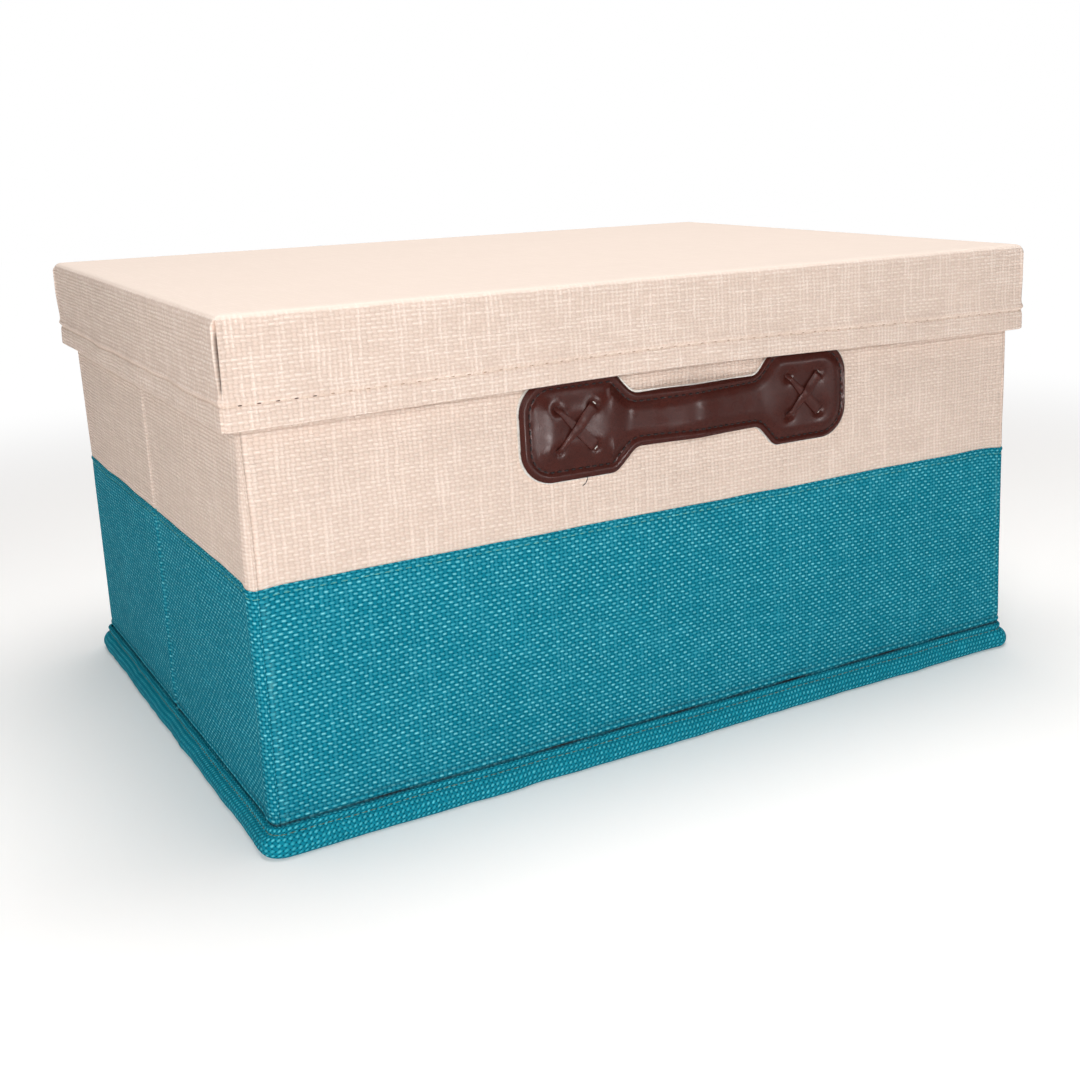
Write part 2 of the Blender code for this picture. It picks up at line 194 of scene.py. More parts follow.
warpTone = noiseAt(weave, joined(weave, times(weave, maths(weave, "ROUND", warpAt), 5.9),
                                 times(weave, weftAt, 0.09), 3.7), 1.0, 1)
weftSlub = ranged(weave, weftTone, 0.56, 0.74)
warpSlub = ranged(weave, warpTone, 0.58, 0.76)
weftUp = maths(weave, "MULTIPLY_ADD", times(weave, warpWave, maths(weave, "SIGN", weftWave)), 0.5, 0.5)
warpUp = maths(weave, "MULTIPLY_ADD", times(weave, weftWave, maths(weave, "SIGN", warpWave)), -0.5, 0.5)
weftRise = maths(weave, "MULTIPLY_ADD", weftSlub, 0.35, source["Weft Lift"])
weftHigh = times(weave, weftRound, plus(weave, weftUp, weftRise))
warpHigh = times(weave, warpRound, plus(weave, warpUp, times(weave, warpSlub, 0.3)))
onTop = ranged(weave, maths(weave, "SUBTRACT", weftHigh, warpHigh), -0.06, 0.06)
feed(weave, maths(weave, "MAXIMUM", weftHigh, warpHigh), sink["Height"])
feed(weave, onTop, sink["Weft"])
thread = maths(weave, "ROUND", weftAt)
chance = addNode(weave, "ShaderNodeTexWhiteNoise", noise_dimensions="2D")
pair = maths(weave, "ROUND", times(weave, maths(weave, "SUBTRACT", warpAt, thread), 0.5))
feed(weave, joined(weave, pair, thread), chance.inputs["Vector"])
lucky = maths(weave, "SUBTRACT", 1.0, times(weave, source["Luck"], chance.outputs["Value"]))
# painted highlight along the threads' crowns, partly the threads' own paler tone: a bright dash on each weft
# float, thin bright lines along warp and weft
glintDash = times(weave, maths(weave, "POWER", maths(weave, "ABSOLUTE", weftWave), 4.5),
             ranged(weave, weftUp, 0.5, 0.95))
glintLine = times(weave, maths(weave, "POWER", maths(weave, "ABSOLUTE", warpWave), 9.0),
             times(weave, ranged(weave, warpTone, 0.44, 0.62), ranged(weave, warpUp, 0.15, 0.9, 0.35, 1.0)))
row = times(weave, maths(weave, "POWER", maths(weave, "ABSOLUTE", weftWave), 7.0),
            times(weave, ranged(weave, weftTone, 0.42, 0.60), ranged(weave, weftUp, 0.1, 0.8, 0.4, 1.0)))
feed(weave, times(weave, glintDash, lucky), sink["Float"])
feed(weave, glintLine, sink["Line"])
feed(weave, row, sink["RowGlint"])
feed(weave, plus(weave, times(weave, onTop, weftTone),
                  times(weave, maths(weave, "SUBTRACT", 1.0, onTop), warpTone)), sink["Tone"])
feed(weave, plus(weave, times(weave, onTop, weftSlub),
                  times(weave, maths(weave, "SUBTRACT", 1.0, onTop), warpSlub)), sink["Slub"])

# Fine pores and creases of leather, and the soft unevenness of handling.
grain, source, sink = makeGroup(
    "leatherGrain",
    [("Surface", "NodeSocketVector", None), ("Grain Size", "NodeSocketFloat", 1400.0)],
    [("Height", "NodeSocketFloat"), ("Pore", "NodeSocketFloat"), ("Worn", "NodeSocketFloat")],
)
cells = addNode(grain, "ShaderNodeTexVoronoi", feature="DISTANCE_TO_EDGE")
feed(grain, source["Surface"], cells.inputs["Vector"])
feed(grain, source["Grain Size"], cells.inputs["Scale"])
pore = ranged(grain, cells.outputs["Distance"], 0.0, 0.22)
cloudy = noiseAt(grain, source["Surface"], 160, 3)
feed(grain, maths(grain, "MULTIPLY_ADD", cloudy, 0.6, pore), sink["Height"])
feed(grain, pore, sink["Pore"])
feed(grain, ranged(grain, cloudy, 0.42, 0.68), sink["Worn"])
print("node groups made")


# Materials

def makeMaterial(name, roughness, **sockets):
    made = bpy.data.materials.new(name)
    made.use_nodes = True
    tree = made.node_tree
    shader = tree.nodes["Principled BSDF"]
    shader.inputs["Roughness"].default_value = roughness
    for label, value in sockets.items():
        shader.inputs[label.replace("_", " ")].default_value = value
    return made, tree, shader


def surfaceOf(tree):
    return addNode(tree, "ShaderNodeUVMap", uv_map="cloth").outputs[0]


def bumped(tree, shader, height, distance, strength=1.0):
    made = addNode(tree, "ShaderNodeBump")
    feed(tree, strength, made.inputs["Strength"])
    made.inputs["Distance"].default_value = distance
    feed(tree, height, made.inputs["Height"])
    feed(tree, made.outputs[0], shader.inputs["Normal"])


def attributeOf(tree, name):
    return addNode(tree, "ShaderNodeAttribute", attribute_name=name).outputs["Fac"]


clothLooks = {
    "creamLinen": {
        "warp": 0.00195, "weft": 0.00158, "uneven": 0.34, "lift": 0.14, "luck": 0.6, "bump": 0.00040,
        "gap": (226, 201, 184), "warpColour": (236, 212, 197), "weftColour": (237, 214, 199),
        "glint": (253, 238, 227), "glintShare": 0.62, "lineGlintShare": 0.5, "rowGlintShare": 0.35,
        "slub": (246, 228, 215), "slubShare": 0.2, "worn": (250, 238, 226), "wornShare": 0.45,
        "smoothAndLit": (249, 232, 219), "shade": 0.95, "roughness": 0.9, "specular": 0.2,
    },
    "tealLinen": {
        "warp": 0.00182, "weft": 0.00157, "uneven": 0.34, "lift": 0.12, "luck": 0.85, "bump": 0.00050,
        "gap": (2, 80, 101), "warpColour": (16, 130, 153), "weftColour": (30, 150, 172),
        "glint": (138, 228, 238), "glintShare": 0.95, "lineGlintShare": 0.08, "rowGlintShare": 0.1,
        "slub": (26, 142, 163), "slubShare": 0.15, "worn": (120, 196, 196), "wornShare": 0.6,
        "smoothAndLit": (24, 140, 160), "shade": 0.93, "roughness": 0.7, "specular": 0.02,
    },
    "weltLinen": {
        "warp": 0.00150, "weft": 0.00150, "uneven": 0.36, "lift": 0.05, "luck": 0.8, "bump": 0.00045,
        "gap": (2, 76, 97), "warpColour": (14, 134, 157), "weftColour": (28, 160, 181),
        "glint": (112, 220, 234), "glintShare": 0.85, "lineGlintShare": 0.0, "rowGlintShare": 0.0,
        "slub": (34, 154, 174), "slubShare": 0.1, "worn": (120, 190, 190), "wornShare": 0.4,
        "smoothAndLit": (24, 140, 160), "shade": 0.9, "roughness": 0.7, "specular": 0.04,
    },
    "liningCotton": {
        "warp": 0.00070, "weft": 0.00070, "uneven": 0.12, "lift": 0.02, "luck": 0.3, "bump": 0.00010,
        "gap": (200, 190, 176), "warpColour": (226, 218, 206), "weftColour": (231, 224, 213),
        "glint": (240, 234, 224), "glintShare": 0.4, "lineGlintShare": 0.3, "rowGlintShare": 0.1,
        "slub": (238, 232, 222), "slubShare": 0.3, "worn": (214, 202, 184), "wornShare": 0.4,
        "smoothAndLit": (231, 224, 213), "shade": 0.92, "roughness": 0.93, "specular": 0.2,
    },
}
# the lid's cloth has stronger painted highlight lines along its threads and weaker painted dashes
clothLooks["lidLinen"] = dict(clothLooks["creamLinen"], glintShare=0.42, lineGlintShare=0.72, rowGlintShare=0.66)
paintedShadeColour = (48, 38, 34)  # painted shade: the dark inside a fold, slit or crease


def makeCloth(name, looks):
    made, tree, shader = makeMaterial(name, looks["roughness"], Specular_IOR_Level=looks["specular"])
    surface = surfaceOf(tree)
    threads = placeGroup(tree, weave, **{
        "Surface": surface, "Warp Pitch": looks["warp"], "Weft Pitch": looks["weft"],
        "Unevenness": looks["uneven"], "Weft Lift": looks["lift"], "Luck": looks["luck"],
    })
    colour = mixed(tree, threads["Weft"], linear(*looks["warpColour"]), linear(*looks["weftColour"]))
    # painted shade: the low places between the threads take the dark gap colour
    colour = mixed(tree, ranged(tree, threads["Height"], 0.62, 0.10), colour, linear(*looks["gap"]))
    # the glint colour is painted highlight along the thread crowns; the slub colour is the threads' own paler
    # tone
    for output, share, shade in (("Slub", "slubShare", "slub"), ("Line", "lineGlintShare", "glint"),
                                 ("RowGlint", "rowGlintShare", "glint"), ("Float", "glintShare", "glint")):
        colour = mixed(tree, times(tree, threads[output], looks[share]), colour, linear(*looks[shade]))
    tone = ranged(tree, threads["Tone"], 0.25, 0.75, looks["shade"], 2 - looks["shade"], smooth=False)
    cloudy = ranged(tree, noiseAt(tree, surface, 22, 3), 0.3, 0.7, 0.98, 1.02, smooth=False)
    both = times(tree, tone, cloudy)
    colour = mixed(tree, 1.0, colour, joined(tree, both, both, both), "MULTIPLY")
    worn = times(tree, attributeOf(tree, "worn"), looks["wornShare"])
    patchy = times(tree, worn, ranged(tree, noiseAt(tree, surface, 420, 2), 0.38, 0.6))
    colour = mixed(tree, patchy, colour, linear(*looks["worn"]))
    # the smooth top's paler colour is partly painted light from above; its bump is weakened there too
    smoothAndLit = times(tree, attributeOf(tree, "smoothAndLit"), 0.8)
    colour = mixed(tree, smoothAndLit, colour, linear(*looks["smoothAndLit"]))
    # painted shade mixed into the colour where a fold, slit or crease lies in shadow
    colour = mixed(tree, attributeOf(tree, "painted_shade"), colour, linear(*paintedShadeColour))
    feed(tree, colour, shader.inputs["Base Color"])
    bumped(tree, shader, threads["Height"], looks["bump"], maths(tree, "SUBTRACT", 1.0, smoothAndLit))
    return made


materials = {name: makeCloth(name, looks) for name, looks in clothLooks.items()}

leatherLooks = {
    "brownLeather": {"base": (74, 35, 29), "deep": (48, 21, 18), "worn": (80, 39, 33), "roughness": 0.23,
                     "size": 1500.0},
    "laceLeather": {"base": (78, 38, 32), "deep": (44, 20, 18), "worn": (90, 48, 42), "roughness": 0.30,
                    "size": 1900.0},
}
for name, looks in leatherLooks.items():
    made, tree, shader = makeMaterial(name, looks["roughness"], Specular_IOR_Level=0.09)
    surface = surfaceOf(tree)
    skin = placeGroup(tree, grain, **{"Surface": surface, "Grain Size": looks["size"]})
    colour = mixed(tree, skin["Worn"], linear(*looks["base"]), linear(*looks["worn"]))
    colour = mixed(tree, ranged(tree, skin["Pore"], 0.7, 0.0, 0.0, 0.6), colour, linear(*looks["deep"]))
    feed(tree, colour, shader.inputs["Base Color"])
    dull, shiny = looks["roughness"] + 0.06, looks["roughness"] - 0.04
    feed(tree, ranged(tree, skin["Worn"], 0.0, 1.0, dull, shiny), shader.inputs["Roughness"])
    bumped(tree, shader, skin["Height"], 0.000005)
    materials[name] = made

plainLooks = {  # the two colours that mottle it, roughness, scale of the mottling, height of the bump
    "paleBacking": ((236, 232, 226), (216, 210, 202), 0.7, 900, 0.00003),
    "greyCard": ((148, 138, 124), (122, 112, 98), 0.9, 500, 0.00006),
    "creamThread": ((240, 220, 204), (226, 202, 184), 0.85, 2500, 0.00004),
    # the next two are painted shade colours for the hem's dips
    "tanThread": ((204, 176, 154), (180, 150, 128), 0.85, 2500, 0.00004),
    "brownThread": ((112, 84, 72), (84, 60, 50), 0.85, 2500, 0.00004),
    "weltThread": ((122, 138, 112), (84, 118, 104), 0.8, 2500, 0.00004),
    # dark thread of the stitches, also used as the painted shade in the lace holes
    "darkThreadAndShade": ((38, 20, 18), (24, 12, 11), 0.6, 2500, 0.00004),
    "paleThread": ((116, 190, 172), (70, 160, 160), 0.75, 2500, 0.00004),
}
for name, (base, other, roughness, scale, bump) in plainLooks.items():
    made, tree, shader = makeMaterial(name, roughness, Specular_IOR_Level=0.3)
    mottle = noiseAt(tree, addNode(tree, "ShaderNodeTexCoord").outputs["Object"], scale, 3)
    colour = mixed(tree, ranged(tree, mottle, 0.35, 0.65), linear(*base), linear(*other))
    feed(tree, colour, shader.inputs["Base Color"])
    bumped(tree, shader, mottle, bump)
    materials[name] = made
print("materials made")


# Mesh helpers

def spaced(first, last, step):
    count = max(1, round(abs(last - first) / step))
    return [first + (last - first) * i / count for i in range(count + 1)]


def mergedStations(*lists):
    made = []
    for value in sorted(v for part in lists for v in part):
        if not made or value - made[-1] > 0.0002:
            made.append(value)
    return made


def rough(point, size, seed):
    return noise.noise(Vector(point) / size + Vector((seed, seed * 0.7, seed * 1.3)))


def bell(value, width):
    return math.exp(-(value / width) ** 2)


def eased(value, low, high):
    share = min(1.0, max(0.0, (value - low) / (high - low)))
    return share * share * (3 - 2 * share)


def fold(at, shape):
    # a ridge or, with a height below zero, a groove
    place, half, height = shape
    return height * bell(at - place, half)


def onArc(radius, angle):
    return radius * math.cos(math.radians(angle)), radius * math.sin(math.radians(angle))


def finishPiece(name, mesh, material):
    made = bpy.data.objects.new(name, mesh)
    bpy.context.scene.collection.objects.link(made)
    mesh.materials.append(materials[material])
    mesh.shade_smooth()
    return made


def thicken(shape, thick):
    # solidify shoots out at the sharpest folds, so no point stays further than twice the thickness away
    start = shape.verts.layers.float_vector.new("start")
    for vert in shape.verts:
        vert[start] = vert.co
    bmesh.ops.solidify(shape, geom=shape.faces, thickness=thick)
    for vert in shape.verts:
        step = vert.co - vert[start]
        if step.length > 2 * thick:
            vert.co = vert[start] + step.normalized() * 2 * thick
    shape.verts.layers.float_vector.remove(start)


def clothGrid(name, columns, rows, place, material, thick, flip=False, masks=None):
    # columns and rows are the stations along and across the cloth, and place gives each one's point and flat
    # position; masks are attributes for the material, each a function of the same stations
    shape = bmesh.new()
    bmesh.ops.create_grid(shape, x_segments=len(columns) - 1, y_segments=len(rows) - 1, size=0.5)
    flat = shape.loops.layers.uv.new("cloth")
    layers = [(shape.verts.layers.float.new(mask), function) for mask, function in (masks or {}).items()]
    index = {}
    for vert in shape.verts:
        column = columns[round((vert.co.x + 0.5) * (len(columns) - 1))]
        row = rows[round((vert.co.y + 0.5) * (len(rows) - 1))]
        index[vert] = (column, row)
    spots = {}
    for vert, (column, row) in index.items():
        point, spot = place(column, row)
        vert.co = point
        spots[vert] = spot
        for layer, function in layers:
            vert[layer] = function(column, row, point)
    for face in shape.faces:
        for loop in face.loops:
            loop[flat].uv = spots[loop.vert]
    bmesh.ops.remove_doubles(shape, verts=shape.verts, dist=0.000004)
    if flip:
        bmesh.ops.reverse_faces(shape, faces=shape.faces)
    thicken(shape, thick)
    mesh = bpy.data.meshes.new(name)
    shape.to_mesh(mesh)
    shape.free()
    made = finishPiece(name, mesh, material)
    mesh.set_sharp_from_angle(angle=math.radians(50))
    return made


def roundedSlab(name, low, high, corner, edge, material):
    shape = bmesh.new()
    bmesh.ops.create_cube(shape, size=1.0)
    bmesh.ops.scale(shape, vec=high - low, verts=shape.verts)
    bmesh.ops.translate(shape, vec=(low + high) / 2, verts=shape.verts)
    for offset, segments, upright in ((corner, 5, True), (edge, 3, False)):
        edges = [e for e in shape.edges if (abs(e.verts[0].co.z - e.verts[1].co.z) > 0.0001) == upright]
        bmesh.ops.bevel(shape, geom=edges, offset=offset, offset_type="OFFSET", segments=segments,
                        profile=0.5, affect="EDGES", material=-1)
    flat = shape.loops.layers.uv.new("cloth")
    for face in shape.faces:
        for loop in face.loops:
            loop[flat].uv = (loop.vert.co.x, loop.vert.co.y)
    mesh = bpy.data.meshes.new(name)
    shape.to_mesh(mesh)
    shape.free()
    return finishPiece(name, mesh, material)


cornerTurns = (  # incoming and outgoing direction at each corner, counterclockwise from the front left one
    ((-1, -1), Vector((0, -1)), Vector((1, 0))),
    ((1, -1), Vector((1, 0)), Vector((0, 1))),
    ((1, 1), Vector((0, 1)), Vector((-1, 0))),
    ((-1, 1), Vector((-1, 0)), Vector((0, -1))),
)


def outwardOf(direction):
    return Vector((direction.y, -direction.x))


def ringPoint(size, s, out, reach, arcs, radii):
    # a point of the rounded outline, s metres counterclockwise from its front left corner, out from its face;
    # arcs are the shares of s that turn before and after a corner, radii how far the turn reaches there
    halfX, halfY = size
    width, depth = 2 * halfX, 2 * halfY
    total = 2 * (width + depth)
    marks = (0.0, width, width + depth, 2 * width + depth)
    gaps = [(s - mark + total / 2) % total - total / 2 for mark in marks]
    k = min(range(4), key=lambda i: abs(gaps[i]))
    gap, (signs, before, after) = gaps[k], cornerTurns[k]
    n0, n1 = outwardOf(before), outwardOf(after)
    corner = Vector((signs[0] * halfX, signs[1] * halfY))
    if abs(gap) >= reach:
        return corner + (before if gap < 0 else after) * gap + (n0 if gap < 0 else n1) * out
    corner = corner + (n0 + n1) * out
    rowReach = reach + out
    rb, ra = (min(max(r + out, 0.0005), rowReach * 0.96) for r in radii[k])
    ab, aa = arcs[k]
    if gap < -ab:
        return corner - before * (rb + (-gap - ab) / (reach - ab) * (rowReach - rb))
    if gap > aa:
        return corner + after * (ra + (gap - aa) / (reach - aa) * (rowReach - ra))
    turn = math.radians(90) * (gap + ab) / (ab + aa)
    return corner - before * rb + after * ra * (1 - math.cos(turn)) + before * rb * math.sin(turn)


# Wall cloths

wall = {
    "reach": 0.012, "frontTurn": 0.0026, "sideTurn": 0.0070, "topTurn": 0.0018, "bulge": 0.0012,
    "edgeRadius": 0.0021, "hem": 0.022, "step": 0.0032,
    "sag": 0.0009, "wave": 0.00028, "foot": 0.0046, "blendStart": 0.0052, "blendEnd": 0.0105,
    "creaseBlend": 0.0045, "cornerPart": 0.020, "openEnd": 0.0075, "lining": 0.0006,
    # the seam sags at a front corner, and the cloth swells beside it and above the seam
    "sagAt": 0.0004, "sagHalf": 0.0075, "seamWave": 0.00035, "bulgeAt": -0.0035, "bulgeHalf": 0.0042,
    "swell": 0.00045, "swellAt": 0.006, "swellHalf": 0.012,
    # paler threads beside a corner and down a crease, and the painted shade lines of the folds
    "paleAt": 0.0042, "paleHalf": 0.0009, "creasePaleHalf": 0.0011, "creaseShadeAt": 0.0028, "creaseShadeHalf": 0.0004,
    # folds: place, half width and height beside a front corner, beside a crease and above the welt
    "cornerFolds": ((0.0030, 0.0007, -0.00042), (0.0046, 0.0011, 0.00022)),
    "creaseFolds": ((0.0, 0.0016, -0.0007), (0.0036, 0.0016, 0.00025)),
    "footFolds": ((0.0123, 0.0008, -0.0006), (0.0140, 0.0010, 0.0004), (0.0156, 0.0006, -0.0003)),
}
outline = (body["halfX"], body["halfY"])
width, depth = 2 * body["halfX"], 2 * body["halfY"]
wallArcs = ((wall["sideTurn"], wall["frontTurn"]), (wall["frontTurn"], wall["sideTurn"])) * 2


def wallRadii(z):
    share = 1 - eased(z, 0.115, 0.172)
    side = wall["topTurn"] + (wall["sideTurn"] - wall["topTurn"]) * share
    front = wall["topTurn"] * 0.8 + (wall["frontTurn"] - wall["topTurn"] * 0.8) * share
    return ((side, front), (front, side)) * 2


def cornerGap(s):
    # how far along the wall the nearest front corner is, positive on the front
    return s if abs(s) < width / 2 else width - s


def creaseGap(s):
    # how far along the wall the nearest side crease is
    return min(abs(s + depth / 2), abs(s - width - depth / 2))


def wallRelief(s, z, point):
    # the small ups and downs of the cloth over its card
    gap = cornerGap(s)
    made = wall["wave"] * rough(point, 0.055, 3.1) + 0.4 * wall["wave"] * rough(point, 0.017, 5.2)
    beside = bell(gap - wall["bulgeAt"], wall["bulgeHalf"])
    made += wall["bulge"] * (1 - eased(z, 0.12, 0.17)) * beside * eased(z, 0.0, 0.02)
    above = bell(z - body["seam"] - wall["swellAt"], wall["swellHalf"])
    made += wall["swell"] * above * rough(point, 0.03, 9.4)
    for at, folds in ((gap, "cornerFolds"), (creaseGap(s), "creaseFolds"), (z, "footFolds")):
        made += sum(fold(at, shape) for shape in wall[folds])
    return made


def seamSag(s):
    sag = wall["sag"] * bell(cornerGap(s) - wall["sagAt"], wall["sagHalf"])
    return -sag + wall["seamWave"] * rough((s, 0, 0), 0.02, 2.2)


def wallPlace(s, row):
    out, z, along = row
    base = ringPoint(outline, s, 0.0, wall["reach"], wallArcs, wallRadii(z))
    relief = wallRelief(s, z, (base.x, base.y, z)) * eased(out, -0.003, 0.0)
    shift = seamSag(s) * bell(z - body["seam"], 0.02)
    spot = ringPoint(outline, s, out + relief, wall["reach"], wallArcs, wallRadii(z))
    return Vector((spot.x, spot.y, z + shift)), (s, along)


# stations round a front corner, over a crease and up to the open corner
cornerMarks = [
    -0.012, -0.0105, -0.009, -0.0078, -0.0070, -0.0060, -0.0049, -0.0038, -0.0027, -0.0016, -0.0006, 0.0002,
    0.0009, 0.0015, 0.0020, 0.0026, 0.0030, 0.0034, 0.0040, 0.0048, 0.0058, 0.0072, 0.009, 0.012,
]
halfCrease = [0.0005, 0.001, 0.0017, 0.0025, 0.0034, 0.0046, 0.006]
creaseMarks = [-m for m in reversed(halfCrease)] + [0.0] + halfCrease
openMarks = [-0.012, -0.0105, -0.009]


def stations(first, last, marks):
    # evenly spaced, and closer round the corners and creases in marks
    special = [m + d * way for m, way, offsets in marks for d in offsets]
    plain = [v for v in spaced(first, last, wall["step"])
             if all(abs(v - m) > 0.0125 for m, way, offsets in marks)]
    return mergedStations([first], [v for v in special + plain if first < v < last], [last])


creaseAt = depth / 2 - 0.006
frontBend = (-body["halfY"] + wall["blendStart"], -body["halfY"] + wall["blendEnd"])
backBend = (body["halfY"] - wall["blendEnd"], body["halfY"] - wall["blendStart"])
creaseBend = (-wall["creaseBlend"], wall["creaseBlend"])
away, rightEnd = wall["cornerPart"], width + depth
frontLeftRun = stations(-creaseAt, away, [(0.0, 1, cornerMarks)])
frontRightRun = stations(width - away, width + creaseAt, [(width, -1, cornerMarks)])
leftBackRun = stations(-depth + away, -creaseAt, [(-depth / 2, 1, creaseMarks)])
rightBackRun = stations(width + creaseAt, rightEnd - wall["openEnd"],
                        [(width + depth / 2, 1, creaseMarks), (rightEnd, 1, openMarks)])
backLeftRun = stations(-depth - away, -depth + away, [(-depth, -1, cornerMarks)])
backRun = stations(-rightEnd - wall["openEnd"], -depth - away, [(-rightEnd, 1, cornerMarks)])
# the parts of the wall cloth: stations, panels replaced, bodies joined and where a part bends between them
parts = {
    "front": (stations(away, width - away, []), ("front",), ("front_body",), None),
    "frontLeft": (frontLeftRun, ("left_front",), ("front_body", "left_front_wall"), frontBend),
    "frontRight": (frontRightRun, ("right_front",), ("front_body", "right_front_wall"), frontBend),
    "leftBack": (leftBackRun, ("left_back",), ("left_front_wall", "left_back_wall"), creaseBend),
    "rightBack": (rightBackRun, ("right_back",), ("right_front_wall", "right_back_wall"), creaseBend),
    "backLeft": (backLeftRun, (), ("left_back_wall", "back_wall"), backBend),
    "back": (backRun, ("back",), ("back_wall",), None),
}


def bendPart(piece, part):
    bodies, bend = parts[part][2:]
    if bend:
        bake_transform(piece)
    else:
        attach(piece, bodies[0])


def wornAt(column, row, point):
    # the paler threads on the edges of the front corners and down the creases
    corner = bell(cornerGap(column) - wall["paleAt"], wall["paleHalf"])
    crease = bell(creaseGap(column), wall["creasePaleHalf"])
    return max(corner * (0.15 + 0.8 * abs(rough(point, 0.012, 3.3))),
               crease * (0.45 + 0.9 * abs(rough(point, 0.03, 7.7))))


def paintedCreaseShade(column, row, point):
    # painted shade in the thin crease beside the front corners, just under the lid, and in the two grooves
    # above the welt
    corner = 0.25 * bell(cornerGap(column) - wall["creaseShadeAt"], wall["creaseShadeHalf"]) * eased(point.z, 0.138, 0.158)
    uneven = 0.75 + 0.8 * rough(point, 0.02, 8.8)
    lower, upper = wall["footFolds"][0][0], wall["footFolds"][2][0]
    return max(corner, uneven * bell(point.z - lower, 0.0006), 0.4 * uneven * bell(point.z - upper, 0.0004))


def rowsOf(points):
    # profile points as (out, z, length along the cloth)
    made, along = [], points[0][1]
    for i, (out, z) in enumerate(points):
        if i:
            along += math.hypot(out - points[i - 1][0], z - points[i - 1][1])
        made.append((out, z, along))
    return made


seam, top, edge, thick = body["seam"], body["top"], wall["edgeRadius"], body["thick"]
wallEdge = [onArc(edge, angle) for angle in range(0, 181, 20)]  # over the folded top edge
creamRows = rowsOf(
    [(out, seam + z)
     for out, z in ((-0.0010, -0.0022), (-0.0007, -0.0008), (-0.0004, 0.0002), (-0.0001, 0.0012), (0.0, 0.003))]
    + [(0.0, z) for z in spaced(seam + 0.006, top - edge - 0.002, 0.0034)]
    + [(-edge + out, top - edge + z) for out, z in wallEdge]
    + [(-thick, z) for z in spaced(top - edge - 0.004, top - wall["hem"] - 0.0005, 0.006)]
)
tealRows = rowsOf(
    [(0.0, z) for z in (wall["foot"], 0.0080, 0.0104, 0.0111, 0.0116, 0.0120, 0.0124, 0.0128, 0.0132, 0.0138,
                        0.0144, 0.0150, 0.0156, 0.0162, 0.0172)]
    + [(0.0, z) for z in spaced(0.0195, seam - 0.0052, 0.0034)]
    + [(out, seam + z)
       for out, z in ((0.00002, -0.0036), (-0.00030, -0.0025), (0.00012, -0.0014), (0.00042, -0.0006),
                      (0.00040, -0.0001), (0.00010, 0.0003), (-0.0003, 0.0004))]
)
liningRows = rowsOf([(-thick, z) for z in spaced(wall["foot"], top - wall["hem"] - 0.0004, 0.006)])

for part, (columns, panels, bodies, bend) in parts.items():
    run = columns[-1] - columns[0]
    for kind, ending, rows, material, slot in (
        ("cream", "_cover", creamRows, "creamLinen", "cream_linen"),
        ("teal", "_cover", tealRows, "tealLinen", "teal_linen"),
        ("lining", "", liningRows, "liningCotton", "lining_cotton"),
    ):
        inside = kind == "lining"
        piece = clothGrid(f"{part}_{kind}_cloth", columns, rows, wallPlace, material,
                          wall["lining"] if inside else body["cloth"], flip=inside,
                          masks=None if inside else {"worn": wornAt, "painted_shade": paintedCreaseShade})
        bendPart(piece, part)
        if panels:
            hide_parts(*(f"{panel}_{kind}{ending}" for panel in panels))
print("wall cloths made")


# Stitches

def stitchRow(name, spots, length, thickness, material, breadth=None):
    # spots are (centre, direction, outward): one small rounded stitch at each
    shape = bmesh.new()
    for centre, direction, outward in spots:
        side = direction.cross(outward).normalized()
        turn = Matrix((direction.normalized(), side, outward.normalized())).transposed().to_4x4()
        size = Matrix.Diagonal((length / 2, breadth or thickness, thickness, 1))
        bmesh.ops.create_uvsphere(shape, u_segments=6, v_segments=4, radius=1,
                                  matrix=Matrix.Translation(centre) @ turn @ size)
    mesh = bpy.data.meshes.new(name)
    shape.to_mesh(mesh)
    shape.free()
    return finishPiece(name, mesh, material)


def faceSpot(place, s, row, lift):
    # a point of a cloth's face, the direction of its run and its outward normal
    step = 0.0008
    here, ahead, above = (place(s, row)[0], place(s + step, row)[0],
                          place(s, (row[0], row[1] + step, *row[2:]))[0])
    direction = ahead - here
    outward = direction.cross(above - here).normalized()
    return here + outward * lift, direction, outward


seamStitch = {"pitch": 0.0042, "length": 0.0028, "thickness": 0.00022, "drop": 0.0027, "lift": -0.00010}
for part, (columns, panels, bodies, bend) in parts.items():
    count = int((columns[-1] - columns[0]) / seamStitch["pitch"])
    row = (0.0, seam - seamStitch["drop"], 0.0)
    places = [columns[0] + (i + 0.5) * seamStitch["pitch"] for i in range(count)]
    spots = [faceSpot(wallPlace, s, row, seamStitch["lift"]) for s in places]
    piece = stitchRow(f"{part}_seam_stitches", spots, seamStitch["length"], seamStitch["thickness"],
                      "paleThread")
    bendPart(piece, part)
print("seam stitches made")


# Lid

lid = {
    "reach": 0.010, "turn": 0.0024, "topRadius": 0.0036, "hemInside": 0.0094, "cloth": 0.00065,
    "step": 0.0036, "wall": 0.0023, "bow": 0.0029, "bowAt": -0.010, "bowWidth": 0.115, "wave": 0.0007,
    "slitDepth": 0.0026, "slitHalf": 0.0005, "fold": 0.0007, "slitFoot": 0.176, "stitchPitch": 0.0066,
    "hemFlare": 0.0006, "pucker": 0.0016, "puckerHalf": 0.0009, "slitShadeHalf": 0.00060, "lean": 0.00012,
    # the groove of the hem's stitches and the ridge above it: place, half width and height
    "hemFolds": ((0.0094, 0.00085, -0.00055), (0.0112, 0.0010, 0.00065)),
}
lidOutline = (lidSize["halfX"], lidSize["halfY"])
lidWidth, lidDepth = 2 * lidSize["halfX"], 2 * lidSize["halfY"]
lidTotal = 2 * (lidWidth + lidDepth)
lidArcs = ((lid["turn"], lid["turn"]),) * 4
lidRadii = ((0.0022, 0.0022),) * 4
lidCorners = (0.0, lidWidth, lidWidth + lidDepth, 2 * lidWidth + lidDepth)


